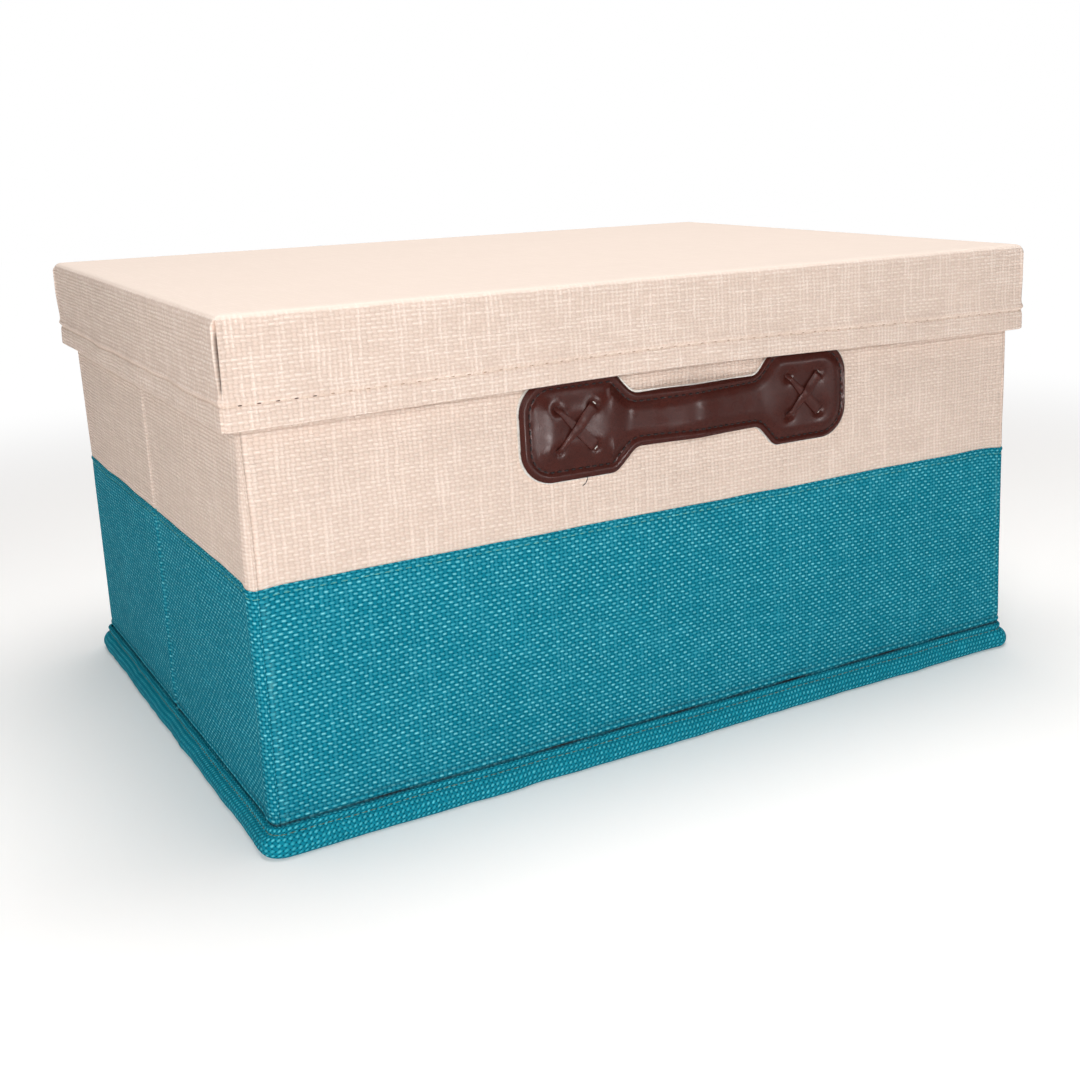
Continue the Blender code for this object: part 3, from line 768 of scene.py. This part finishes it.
def lidCornerGap(s):
    gaps = [(s - c + lidTotal / 2) % lidTotal - lidTotal / 2 for c in lidCorners]
    return min(gaps, key=abs)


def lidLift(s, z):
    # the front's lower edge bows up, and the sides' wave
    base = ringPoint(lidOutline, s, 0.0, lid["reach"], lidArcs, lidRadii)
    low = 1 - eased(z, lidSize["low"] + 0.004, lidSize["top"] - 0.008)
    front = eased(-base.y, lidSize["halfY"] - 0.02, lidSize["halfY"] - 0.001)
    made = lid["bow"] * bell(base.x - lid["bowAt"], lid["bowWidth"]) * front
    made += 0.0009 * (1 - front) * rough((base.x, base.y, 0), 0.03, 4.4)
    return made * low


def lidRelief(s, z, point):
    height = z - lidSize["low"]
    made = lid["wave"] * rough(point, 0.06, 1.7) * 0.6 + 0.00016 * rough(point, 0.02, 6.1)
    offFront = 1 - eased(-point[1], lidSize["halfY"] - 0.02, lidSize["halfY"] - 0.001)
    flare = 0.5 + offFront * 1.5 * rough(point, 0.028, 8.3)
    made += lid["hemFlare"] * (1 - eased(height, 0.009, 0.016)) * flare
    made += sum(fold(height, shape) for shape in lid["hemFolds"])
    gap = lidCornerGap(s)
    below = 1 - eased(z, lidSize["top"] - 0.0040, lidSize["top"] - 0.0012)
    gape = eased(z, lid["slitFoot"], lid["slitFoot"] + 0.014) * below
    made -= lid["slitDepth"] * gape * bell(gap, lid["slitHalf"])
    made += lid["fold"] * gape * sum(bell(gap + way * lid["pucker"], lid["puckerHalf"]) for way in (-1, 1))
    made -= 0.0004 * (1 - gape) * bell(gap, 0.0005) * below
    return made


def lidPlace(s, row):
    out, z, along, kind = row
    base = ringPoint(lidOutline, s, 0.0, lid["reach"], lidArcs, lidRadii)
    relief = lidRelief(s, z, (base.x, base.y, z)) * eased(out, -0.0022, -0.0002)
    if kind == "top":
        start = ringPoint(lidOutline, s, -curve, lid["reach"], lidArcs, lidRadii)
        spot = Vector((start.x * (lidSize["halfX"] + out) / (lidSize["halfX"] - curve),
                       start.y * (lidSize["halfY"] + out) / (lidSize["halfY"] - curve)))
        rise = 0.00012 * rough((spot.x, spot.y, 0), 0.10, 2.9) * eased(-out, 0.004, 0.03)
        rise -= 0.0003 * eased(-out, 0.01, 0.12)
    else:
        spot = ringPoint(lidOutline, s, out + relief, lid["reach"], lidArcs, lidRadii)
        rise = lidLift(s, z)
    flat = (s - lidSize["halfX"], along)
    if kind in ("rim", "top"):
        flat = (spot.x, lidTop + curve * (math.pi / 2 - 2) + spot.y + lidSize["halfY"])
    return Vector((spot.x, spot.y, z + rise)), flat


def lidStations(step, marks):
    lists = []
    for k in range(4):
        first = lidCorners[k]
        last = lidCorners[k + 1] if k < 3 else lidTotal
        lists.append([v for v in spaced(first, last, step) if min(v - first, last - v) > marks[-1] + 0.001])
        lists.append([first + m for m in marks])
        lists.append([last - m for m in marks])
    merged = [v for v in mergedStations(*lists) if v < lidTotal - 0.0001]
    shift = lidTotal - lidDepth / 2  # the grid closes in the middle of the left side
    before = [v - lidTotal for v in merged if v > shift + 0.0001]
    return [shift - lidTotal] + before + [v for v in merged if v < shift - 0.0001] + [shift]


lidMarks = [0.0, 0.0003, 0.0007, 0.0011, 0.0016, 0.0021, 0.0027, 0.0036, 0.0050, 0.0072, 0.0100]
lidLow, lidTop, curve = lidSize["low"], lidSize["top"], lid["topRadius"]
lidRun = lidStations(lid["step"], lidMarks)
half = lid["wall"] / 2


def arcPoints(centreOut, centreZ, radius, angles, kind="side"):
    return [(centreOut + out, centreZ + z, kind) for out, z in (onArc(radius, angle) for angle in angles)]


lidProfile = (
    [(-lid["wall"], z, "inside") for z in (lidLow + lid["hemInside"], lidLow + 0.006, lidLow + 0.0025)]
    + arcPoints(-half, lidLow + half, half, (200, 230, 260, 290, 320, 345))
    + [(0.0, lidLow + h, "side")
       for h in (0.0016, 0.0026, 0.0040, 0.0055, 0.0068, 0.0078, 0.0084, 0.0089, 0.0094, 0.0099, 0.0104, 0.0110,
                 0.0116, 0.0124, 0.0136, 0.0155)]
    + [(0.0, z, "side") for z in spaced(lidLow + 0.018, lidTop - curve - 0.001, 0.0028)]
    + arcPoints(-curve, lidTop - curve, curve, (0, 15, 30, 45, 60, 75))
    + arcPoints(-curve, lidTop - curve, curve, (75,), "rim")
    + [(-d, lidTop, "top")
       for d in (curve, 0.006, 0.009, 0.014, 0.022, 0.034, 0.048, 0.064, 0.082, 0.100, 0.118, 0.134,
                 lidSize["halfY"])]
)


def lidRowsOf(profile):
    made, along = [], lidLow
    for i, (out, z, kind) in enumerate(profile):
        if i and kind == "side":
            along += math.hypot(out - profile[i - 1][0], z - profile[i - 1][1])
        made.append((out, z, along, kind))
    return made


def paintedSlitShade(column, row, point):
    # painted shade in the slit at each corner, between the two folds
    height = point.z - lid["slitFoot"]
    span = lidTop - 0.0040 - lid["slitFoot"]
    lean = lid["lean"] * math.sin(7 * height / span)
    along = eased(height, 0.0005, 0.004) * (1 - eased(height, span - 0.003, span))
    return bell(lidCornerGap(column) - lean, lid["slitShadeHalf"]) * along


def lidSmoothAndLit(column, row, point):
    # the top is pulled smooth and given a paler, even colour: partly the calmer weave, partly painted light
    # falling from above
    return eased(point.z, lidTop - 0.0022, lidTop - 0.0004)


lidRows = lidRowsOf(lidProfile)
piece = clothGrid("lid_cloth", lidRun, lidRows, lidPlace, "lidLinen", lid["cloth"],
                  masks={"painted_shade": paintedSlitShade, "smoothAndLit": lidSmoothAndLit})
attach(piece, "lid")
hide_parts("lid_cover")

cardTrims = {  # how far each card stays inside its place, below and above, and its corner's radius
    "top": (Vector((0.0012, 0.0012, 0.0)), Vector((0.0012, 0.0012, 0.0)), 0.0020, 0.0008),
    "rim_front": (Vector((0, 0, 0.0045)), Vector((0, 0, 0.0014)), 0.0003, 0.0002),
    "rim_back": (Vector((0, 0, 0.0022)), Vector((0, 0, 0.0014)), 0.0003, 0.0002),
    "rim_left": (Vector((0, 0, 0.0022)), Vector((0, 0, 0.0014)), 0.0003, 0.0002),
    "rim_right": (Vector((0, 0, 0.0022)), Vector((0, 0, 0.0014)), 0.0003, 0.0002),
}
for name, (below, above, corner, edgeRadius) in cardTrims.items():
    low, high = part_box(f"lid_{name}_board")
    piece = roundedSlab(f"lid_{name}_card", low + below, high - above, corner, edgeRadius, "greyCard")
    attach(piece, "lid")
    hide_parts(f"lid_{name}_board")
print("lid cloth made")

liningRun = 0.0030  # how far the lid's lining lies inside its outline
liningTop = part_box("lid_lining")[1].z
lidLiningRows = lidRowsOf(
    [(-liningRun, z, "inside") for z in spaced(lidLow + 0.0098, liningTop - 0.0022, 0.006)]
    + [(-liningRun, liningTop - 0.0007, "inside")]
    + [(-d, liningTop - 0.0007, "top") for d in (liningRun + 0.002, 0.02, 0.06, 0.11, lidSize["halfY"])]
)


def lidLiningPlace(s, row):
    out, z, along, kind = row
    start = ringPoint(lidOutline, s, -liningRun, lid["reach"], lidArcs, lidRadii)
    spot = Vector((start.x * (lidSize["halfX"] + out) / (lidSize["halfX"] - liningRun),
                   start.y * (lidSize["halfY"] + out) / (lidSize["halfY"] - liningRun)))
    sag = 0.0003 * rough((spot.x, spot.y, 0), 0.05, 7.1) if kind == "top" else 0.0
    return Vector((spot.x, spot.y, z + sag)), ((spot.x, spot.y) if kind == "top" else (s, z))


piece = clothGrid("lid_lining_cloth", lidRun, lidLiningRows, lidLiningPlace, "liningCotton", 0.0005,
                  flip=True)
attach(piece, "lid")
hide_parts("lid_lining")


hemStitch = {
    "length": 0.0046, "thickness": 0.00034, "lift": -0.00012, "height": 0.0094, "gapLength": 0.0017,
    "gapThickness": 0.00022, "gapBreadth": 0.00032, "deepShadeCount": 5,
}
hemRow = (0.0, lidLow + hemStitch["height"], 0.0, "side")
count = int(lidTotal / lid["stitchPitch"])
places = [(i + 0.5) * lidTotal / count for i in range(count)]
places = [s for s in places if abs(lidCornerGap(s)) > 0.0030]
spots = [faceSpot(lidPlace, s, hemRow, hemStitch["lift"]) for s in places]
piece = stitchRow("lid_hem_stitches", spots, hemStitch["length"], hemStitch["thickness"], "creamThread")
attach(piece, "lid")
# the cloth is drawn in between two stitches, deepest beside the front left corner. Its dips carry painted
# shade: brown in the deepest ones, tan along the front, plain cream thread on the other sides.
dips = [s + lidTotal / count / 2 for s in places]
frontEnd = sum(s < lidWidth for s in dips)
spots = [faceSpot(lidPlace, s, hemRow, 0.0) for s in dips]
deepShadeEnd = hemStitch["deepShadeCount"]
for name, chosen, material in (
    ("dark", spots[:deepShadeEnd], "brownThread"),
    ("front", spots[deepShadeEnd:frontEnd], "tanThread"),
    ("pale", spots[frontEnd:], "creamThread"),
):
    piece = stitchRow(f"lid_hem_{name}_dips", chosen, hemStitch["gapLength"], hemStitch["gapThickness"],
                      material, hemStitch["gapBreadth"])
    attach(piece, "lid")
print("lid made")


# Welts and bottom

welt = {
    "reach": 0.012, "turn": 0.0042, "wave": 0.00085, "split": 0.0046, "step": 0.0034, "foldedDepth": 0.0357,
    "stitchOut": 0.0013, "stitchHeight": 0.0089, "stitchPitch": 0.0034, "stitchLength": 0.0029,
    "stitchThickness": 0.00020,
}
weltArcs = ((0.0056, 0.0056),) * 4
weltRadii = ((welt["turn"], welt["turn"]),) * 4
weltMarks = [0.0, 0.0009, 0.0018, 0.0027, 0.0036, 0.0045, 0.0056, 0.0070, 0.0090, 0.0120]
weltProfile = [
    (0.0004, 0.0010), (0.0010, 0.0003), (0.0022, 0.0000), (0.0035, 0.0004), (0.0044, 0.0014), (0.0049, 0.0029),
    (0.0049, 0.0045), (0.0044, 0.0060), (0.0035, 0.0073), (0.0024, 0.0082), (0.0015, 0.0087), (0.0012, 0.0091),
    (0.0015, 0.0096), (0.0018, 0.0103), (0.0018, 0.0110), (0.0014, 0.0116), (0.0004, 0.0117), (0.0004, 0.0060),
    (0.0004, 0.0010),
]


def weltPlace(s, row):
    out, z, along = row
    base = ringPoint(outline, s, 0.0, welt["reach"], weltArcs, weltRadii)
    point = (base.x, base.y, z * 0.4)
    share = eased(out, 0.0004, 0.003)
    push = welt["wave"] * share * (rough(point, 0.022, 3.7) + 0.5 * rough(point, 0.008, 1.1))
    lift = 0.0005 * rough((base.x, base.y, 0), 0.03, 5.5) * eased(z, 0.002, 0.009)
    spot = ringPoint(outline, s, out + push, welt["reach"], weltArcs, weltRadii)
    return Vector((spot.x, spot.y, z + lift)), (0.7071 * (s + along), 0.7071 * (along - s))


split = welt["split"]
weltRuns = {
    "front": (-split, width + split), "right": (width + split, width + depth - split),
    "back": (-depth - width - split, -depth + split), "left": (-depth + split, -split),
}


def followFold(piece):
    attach(piece, "front_body")
    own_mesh(piece)


def rideFront(piece):
    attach(piece, "front_body")


weltRows = rowsOf(weltProfile)
for name, (first, last) in weltRuns.items():
    corners = (0.0, width, -depth, -depth - width, width + depth)
    marks = [corner + way * m for corner in corners for m in weltMarks for way in (-1, 1)]
    plain = [v for v in spaced(first, last, welt["step"]) if all(abs(v - m) > 0.0008 for m in marks)]
    columns = mergedStations([first], [v for v in marks if first < v < last], plain, [last])
    piece = clothGrid(f"{name}_welt_cloth", columns, weltRows, weltPlace, "weltLinen", 0.0004)
    count = int((last - first) / welt["stitchPitch"])
    places = [first + (i + 0.5) * (last - first) / count for i in range(count)]
    spots = [faceSpot(weltPlace, s, (welt["stitchOut"], welt["stitchHeight"], 0.0), 0.0001) for s in places]
    thread = stitchRow(f"{name}_welt_stitches", spots, welt["stitchLength"], welt["stitchThickness"],
                       "weltThread")
    for made in (piece, thread):
        if name == "front":
            rideFront(made)
        elif name == "back":
            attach(made, "back_wall")
        else:
            followFold(made)
    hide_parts(f"{name}_welt")


def bottomPlace(x, y):
    return Vector((x, y, 0.0008 + 0.0001 * rough((x, y, 0), 0.03, 2.2))), (x, y)


bottomColumns = spaced(-body["halfX"] + 0.0004, body["halfX"] - 0.0004, 0.012)
bottomRows = spaced(-body["halfY"] + 0.0004, body["halfY"] - 0.0004, 0.012)
piece = clothGrid("bottom_cloth", bottomColumns, bottomRows, bottomPlace, "tealLinen", 0.0007)
followFold(piece)
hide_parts("bottom_sheet")

low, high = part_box("base_cover")
piece = roundedSlab("floor_board_cloth", low, high, 0.004, 0.0011, "liningCotton")
shell = piece.modifiers.new("thickness", "SOLIDIFY")
shell.thickness, shell.offset = 0.0005, -1.0
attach(piece, "floor_board")
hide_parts("base_cover")
print("welts, bottom and floor board made")


# Handle

strapLow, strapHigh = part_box("handle_strap")
handle = {
    "left": strapLow.x, "right": strapHigh.x, "low": strapLow.z, "high": strapHigh.z,
    "corner": 0.0140, "leftTab": 0.0430, "rightTab": 0.0405, "chamfer": 0.0092, "gripHalf": 0.0113,
    "face": 0.1443, "bow": 0.0030, "tilt": 0.08, "thick": 0.0008, "step": 0.0013, "rim": 0.00045,
    "groove": 0.00045, "grooveHalf": 0.0007, "edgeDrop": 0.0007, "edgeWidth": 0.0013, "ripple": 0.00016,
    "dimpleHalf": 0.0019, "dish": 0.0004, "dishHalf": 0.0042, "wave": 0.00018,
    # the soft crest across the grip, where it has been bent
    "crest": 0.0007, "crestAt": 0.0020, "crestSoft": 0.0060, "crestHalf": 0.0090,
    # the stitches' distance from the edge and the padding inside them, pulled in where the laces cross
    "leftInset": 0.0043, "rightInset": 0.0028, "leftPuff": 0.0023, "rightPuff": 0.0011, "gripPuff": 0.0005,
    "leftPull": 0.0014, "rightPull": 0.0006, "pullHalf": 0.0105, "leftSpread": 0.0119, "spread": 0.0044,
    "holeX": 0.0083, "holeZ": 0.0085, "dimple": 0.0014, "laceHalf": 0.0023, "laceThick": 0.0006,
    "laceHigh": 0.0009,
    "stitchPitch": 0.0032, "stitchLength": 0.0023, "stitchThickness": 0.00044,
    "backGrow": 0.0004, "backFace": 0.1431, "backThick": 0.0010,
}
middleZ = (handle["low"] + handle["high"]) / 2
tabHalf = (handle["high"] - handle["low"]) / 2
laceBoxes = [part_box(f"lace_{tab}_over") for tab in ("left", "right")]
tabCentres = [(low.x + high.x) / 2 for low, high in laceBoxes]
holes = [(cx + sx * handle["holeX"], middleZ + sz * handle["holeZ"])
         for cx in tabCentres for sx in (-1, 1) for sz in (-1, 1)]


def plainHalf(x):
    # the strap's half height: rounded ends, full tabs, slanting shoulders, grip
    nearLeft = x - handle["left"] < handle["right"] - x
    end = max(0.0, min(x - handle["left"], handle["right"] - x))
    tab = handle["leftTab"] if nearLeft else handle["rightTab"]
    if end < handle["corner"]:
        return tabHalf - handle["corner"] + math.sqrt(handle["corner"] ** 2 - (handle["corner"] - end) ** 2)
    if end < tab:
        return tabHalf
    return max(handle["gripHalf"], tabHalf - (end - tab) * (tabHalf - handle["gripHalf"]) / handle["chamfer"])


def halfHeight(x):
    if min(x - handle["left"], handle["right"] - x) < 0.025:
        return plainHalf(x)
    return sum(plainHalf(x + d) for d in (-0.0018, -0.0009, 0.0, 0.0009, 0.0018)) / 5


ends = [handle["corner"] * (1 - math.cos(math.radians(a))) for a in range(0, 91, 5)]
between = spaced(handle["left"] + handle["corner"], handle["right"] - handle["corner"], handle["step"])
strapX = mergedStations([handle["left"] + d for d in ends], between, [handle["right"] - d for d in ends])
strapRows = [math.sin(math.radians(a)) * 0.35 + a / 90 * 0.65 for a in spaced(-90, 90, 4)]
rimLine = []  # the strap's outline, clockwise
for xs, way, end in ((strapX, 1, handle["right"]), (strapX[::-1], -1, handle["left"])):
    rimLine += [Vector((x, middleZ + halfHeight(x) * way)) for x in xs]
    rimLine += [Vector((end, middleZ + halfHeight(end) * way * share)) for share in (0.6, 0.2, -0.2, -0.6)]


def rimDistance(x, z):
    spot, best = Vector((x, z)), 1.0
    for i, a in enumerate(rimLine):
        if abs(a.x - x) > 0.02:
            continue
        b = rimLine[(i + 1) % len(rimLine)]
        run = b - a
        share = min(1.0, max(0.0, (spot - a).dot(run) / max(run.length_squared, 1e-12)))
        best = min(best, (a + run * share - spot).length)
    return best


def insetAt(x):
    share = eased(x, handle["left"] + 0.03, handle["right"] - 0.03)
    return handle["leftInset"] + (handle["rightInset"] - handle["leftInset"]) * share


gripLeft, gripRight = handle["left"] + handle["leftTab"], handle["right"] - handle["rightTab"]


def acrossGrip(x):
    # how far from the crest, 0, towards the grip's ends, 1
    reach = (handle["crestAt"] - gripLeft if x < handle["crestAt"] else gripRight - handle["crestAt"]) + 0.004
    soft = handle["crestSoft"]
    return min(1.0, (math.hypot(x - handle["crestAt"], soft) - soft) / (reach - soft))


def gripBow(x):
    # the grip stands out in two slanting halves that meet in a soft crest, where it has been bent
    slant = handle["bow"] * (1 - eased(acrossGrip(x), -0.35, 1.0)) / (1 - eased(0.0, -0.35, 1.0))
    return slant + handle["crest"] * bell(x - handle["crestAt"], handle["crestHalf"])


def strapFace(x, z):
    # how far out the leather's face stands, as a positive y
    rim, inset = rimDistance(x, z), insetAt(x)
    across = acrossGrip(x)
    bow = gripBow(x) - handle["tilt"] * (z - middleZ) * (1 - eased(across, 0.6, 1.0))
    puff = handle["leftPuff"]
    puff += (handle["gripPuff"] - handle["leftPuff"]) * eased(x, gripLeft - 0.004, gripLeft + 0.008)
    puff += (handle["rightPuff"] - handle["gripPuff"]) * eased(x, gripRight - 0.008, gripRight + 0.004)
    spread = handle["leftSpread"] if x < gripLeft - 0.004 else handle["spread"]
    made = handle["face"] + bow + puff * eased(rim, inset - 0.0004, inset + spread)
    made -= handle["edgeDrop"] * (1 - eased(rim, 0.0, handle["edgeWidth"]))
    made += handle["rim"] * bell(rim - inset / 2, inset * 0.32)
    made -= handle["groove"] * bell(rim - inset, handle["grooveHalf"])
    made += handle["ripple"] * rough((x, 0, z), 0.0022, 6.6) * bell(rim - inset, 0.0016)
    for cx, pull in zip(tabCentres, (handle["leftPull"], handle["rightPull"])):
        made -= pull * bell(math.hypot(x - cx, z - middleZ), handle["pullHalf"])
    for hx, hz in holes:
        near = math.hypot(x - hx, z - hz)
        if near < 0.012:
            made -= handle["dimple"] * bell(near, handle["dimpleHalf"])
            made -= handle["dish"] * bell(near, handle["dishHalf"])
    return made + handle["wave"] * rough((x, 0, z), 0.014, 4.9)


def strapPlace(x, share):
    z = middleZ + halfHeight(x) * share
    return Vector((x, -strapFace(x, z), z)), (x, z)


piece = clothGrid("handle_leather", strapX, strapRows, strapPlace, "brownLeather", handle["thick"])
rideFront(piece)
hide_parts("handle_strap")


def backPlace(x, share):
    middle = (handle["left"] + handle["right"]) / 2
    grown = (handle["right"] - handle["left"] + 2 * handle["backGrow"]) / (handle["right"] - handle["left"])
    z = middleZ + (halfHeight(x) + handle["backGrow"]) * share
    return Vector((middle + (x - middle) * grown, -handle["backFace"] - gripBow(x) * 0.8, z)), (x, z)


piece = clothGrid("handle_back_cloth", strapX, strapRows[::3], backPlace, "paleBacking", handle["backThick"])
rideFront(piece)
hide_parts("handle_backing")

inset = []
for i, a in enumerate(rimLine):
    run = rimLine[(i + 1) % len(rimLine)] - rimLine[i - 1]
    if run.length > 1e-6:
        inward = Vector((run.y, -run.x)).normalized()
        inset.append(a + inward * insetAt(a.x))
spots, travelled, due = [], 0.0, 0.0
for i, a in enumerate(inset):
    b = inset[(i + 1) % len(inset)]
    run = b - a
    while due < travelled + run.length:
        at = a + run * ((due - travelled) / max(run.length, 1e-9))
        ahead = Vector((run.x, 0, run.y))
        spots.append((Vector((at.x, -strapFace(at.x, at.y) - 0.00010, at.y)), ahead, Vector((0, -1, 0))))
        due += handle["stitchPitch"]
    travelled += run.length
piece = stitchRow("handle_stitches", spots, handle["stitchLength"], handle["stitchThickness"], "darkThreadAndShade")
rideFront(piece)

for tab, cx in zip(("left", "right"), tabCentres):
    for layer, slope, hump in (("under", -1, 0.0), ("over", 1, 0.0009)):
        first = Vector((cx - handle["holeX"], middleZ - slope * handle["holeZ"]))
        last = Vector((cx + handle["holeX"], middleZ + slope * handle["holeZ"]))
        run = last - first
        across = Vector((-run.y, run.x)).normalized()
        level = strapFace(cx, middleZ)

        def lacePlace(t, share, first=first, run=run, across=across, hump=hump, level=level):
            # narrow at its left end and full at its right one, level between the holes and steep into them
            wide = handle["laceHalf"] * (0.45 + 0.55 * eased(t, 0.0, 0.75))
            wide *= 0.6 + 0.4 * eased(min(t, 1 - t), -0.07, 0.03)
            at = first + run * t + across * wide * share
            raised = handle["laceHigh"] + hump * bell(t - 0.5, 0.15)
            dip = 0.0022 * (1 - eased(min(t, 1 - t), -0.07, 0.05))
            face = level + raised - dip + 0.00025 * (1 - share * share)
            return Vector((at.x, -face, at.y)), (at.x, at.y)

        piece = clothGrid(f"{tab}_lace_{layer}", spaced(-0.07, 1.07, 0.03), [-1, -0.9, -0.5, 0, 0.5, 0.9, 1],
                          lacePlace, "laceLeather", handle["laceThick"])
        rideFront(piece)
        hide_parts(f"lace_{tab}_{layer}")

# the holes as dark discs of painted shade, pale slivers in them for the backing, partly a painted glint, and a
# loose end of thread under the left tab
hole = {"radius": 0.0013, "sliver": 0.0022, "shift": 0.0009}
toFront = Vector((0, -1, 0))
dark, pale = [], []
for hx, hz in holes:
    cx = min(tabCentres, key=lambda c: abs(c - hx))
    away = Vector((hx - cx, 0, hz - middleZ)).normalized()
    face = strapFace(hx, hz)
    # painted shade: a dark disc in each hole
    dark.append((Vector((hx, -face - 0.0001, hz)) + away * 0.0004, away, toFront))
    # pale slivers at the outer side of the right-hand holes: the backing showing there, partly a painted glint
    if hx > cx:
        spot = Vector((hx, -face - 0.0005, hz)) + away * hole["shift"]
        pale.append((spot, Vector((-away.z, 0, away.x)), toFront))
rideFront(stitchRow("lace_hole_shade", dark, 2 * hole["radius"], 0.00025, "darkThreadAndShade", hole["radius"] * 0.9))
rideFront(stitchRow("lace_hole_edge_glints", pale, hole["sliver"], 0.00030, "paleBacking", 0.00038))
loose = [Vector(point) for point in ((-0.0502, -0.1440, 0.1268), (-0.0505, -0.1446, 0.1250),
                                     (-0.0514, -0.1449, 0.1236), (-0.0528, -0.1448, 0.1226))]
spots = [((a + b) / 2, b - a, toFront) for a, b in zip(loose, loose[1:])]
rideFront(stitchRow("loose_thread", spots, 0.0024, 0.00022, "darkThreadAndShade"))
print("handle made")


# Card inside, shown only where the cloth opens

for name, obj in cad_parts.items():
    if name.endswith("_board"):
        obj.data.materials.clear()
        obj.data.materials.append(materials["greyCard"])


# Stage: floor, lamps, background, camera

stage = {
    "floorSize": 6.0, "floorColour": (244, 242, 240), "fadeFrom": 0.45, "fadeTo": 0.95, "floorGlow": 0.16,
    "ambient": 0.01,
    # each lamp's place, aim, width, power and, for a tall one, its height over its width
    "near": ((-0.60, -0.94, 0.45), (-0.10, -0.10, 0.10), 0.5, 6.3),
    "top": ((0.15, 0.10, 1.70), (0.0, 0.0, 0.15), 1.4, 27.3),
    "left": ((-1.00, -0.62, 0.50), (-0.15, 0.0, 0.10), 0.6, 0.5),
    "far": ((0.45, -1.35, 0.90), (0.05, -0.10, 0.10), 0.7, 1.0),
    "strip": ((1.15, -1.90, 0.15), (0.002, -0.147, 0.147), 0.30, 11.0, 0.93),
    "sheen": ((0.03, -0.70, 0.055), (-0.070, -0.145, 0.150), 0.13, 2.2, 0.8),
}
made, tree, shader = makeMaterial("studioFloor", 0.9, Specular_IOR_Level=0.1)
shader.inputs["Base Color"].default_value = linear(*stage["floorColour"])
spot = parted(tree, addNode(tree, "ShaderNodeTexCoord").outputs["Object"])
far = maths(tree, "SQRT", plus(tree, times(tree, spot[0], spot[0]), times(tree, spot[1], spot[1])))
shader.inputs["Emission Strength"].default_value = 1.0
glow = ranged(tree, far, stage["fadeFrom"], stage["fadeTo"], stage["floorGlow"], 1.0)
feed(tree, joined(tree, glow, glow, glow), shader.inputs["Emission Color"])
fade = ranged(tree, far, stage["fadeFrom"], stage["fadeTo"])
feed(tree, mixed(tree, fade, linear(*stage["floorColour"]), (0, 0, 0, 1)), shader.inputs["Base Color"])
shape = bmesh.new()
bmesh.ops.create_grid(shape, x_segments=2, y_segments=2, size=stage["floorSize"] / 2)
mesh = bpy.data.meshes.new("floor")
shape.to_mesh(mesh)
shape.free()
floor = bpy.data.objects.new("floor", mesh)
mesh.materials.append(made)
bpy.context.scene.collection.objects.link(floor)


def addLamp(name, place, target, size, power, tall=1.0):
    lamp = bpy.data.lights.new(name, "AREA")
    lamp.shape = "RECTANGLE"
    lamp.size, lamp.size_y = size, size * tall
    lamp.energy = power
    holder = bpy.data.objects.new(name, lamp)
    bpy.context.scene.collection.objects.link(holder)
    holder.location = place
    holder.rotation_euler = (Vector(target) - Vector(place)).to_track_quat("-Z", "Y").to_euler()
    return holder


for name in ("near", "top", "left", "far"):
    addLamp(name + "Lamp", *stage[name])
# two tall strips that only give the leather its highlights
for name in ("strip", "sheen"):
    addLamp(name + "Lamp", *stage[name]).visible_diffuse = False

world = bpy.data.worlds.new("studio")
bpy.context.scene.world = world
world.use_nodes = True
tree = world.node_tree
background = tree.nodes["Background"]
sight = addNode(tree, "ShaderNodeLightPath").outputs["Is Camera Ray"]
seen = times(tree, sight, 1.0 - stage["ambient"])
feed(tree, plus(tree, seen, stage["ambient"]), background.inputs["Strength"])
background.inputs["Color"].default_value = (1, 1, 1, 1)

view = {
    "place": (-0.31927, -0.63502, 0.26070), "azimuth": 0.57841, "elevation": -0.22303, "roll": -0.02522,
    "focal": 1415.63, "centre": (692.99, 454.19), "frame": 1080, "sensor": 36.0,
}
level = math.cos(view["elevation"])
ahead = Vector((math.sin(view["azimuth"]) * level, math.cos(view["azimuth"]) * level,
                math.sin(view["elevation"])))
right = Vector((math.cos(view["azimuth"]), -math.sin(view["azimuth"]), 0))
up = right.cross(ahead)
rolledRight = right * math.cos(view["roll"]) + up * math.sin(view["roll"])
rolledUp = up * math.cos(view["roll"]) - right * math.sin(view["roll"])
camera = bpy.data.cameras.new("camera")
camera.sensor_width = view["sensor"]
camera.lens = view["focal"] / view["frame"] * view["sensor"]
camera.shift_x = (view["frame"] / 2 - view["centre"][0]) / view["frame"]
camera.shift_y = (view["centre"][1] - view["frame"] / 2) / view["frame"]
camera.clip_start, camera.clip_end = 0.05, 20.0
eye = bpy.data.objects.new("camera", camera)
bpy.context.scene.collection.objects.link(eye)
turn = Matrix((rolledRight, rolledUp, -ahead)).transposed().to_4x4()
eye.matrix_world = Matrix.Translation(view["place"]) @ turn
bpy.context.scene.camera = eye
bpy.context.scene.view_settings.view_transform = "Standard"
print("stage made")
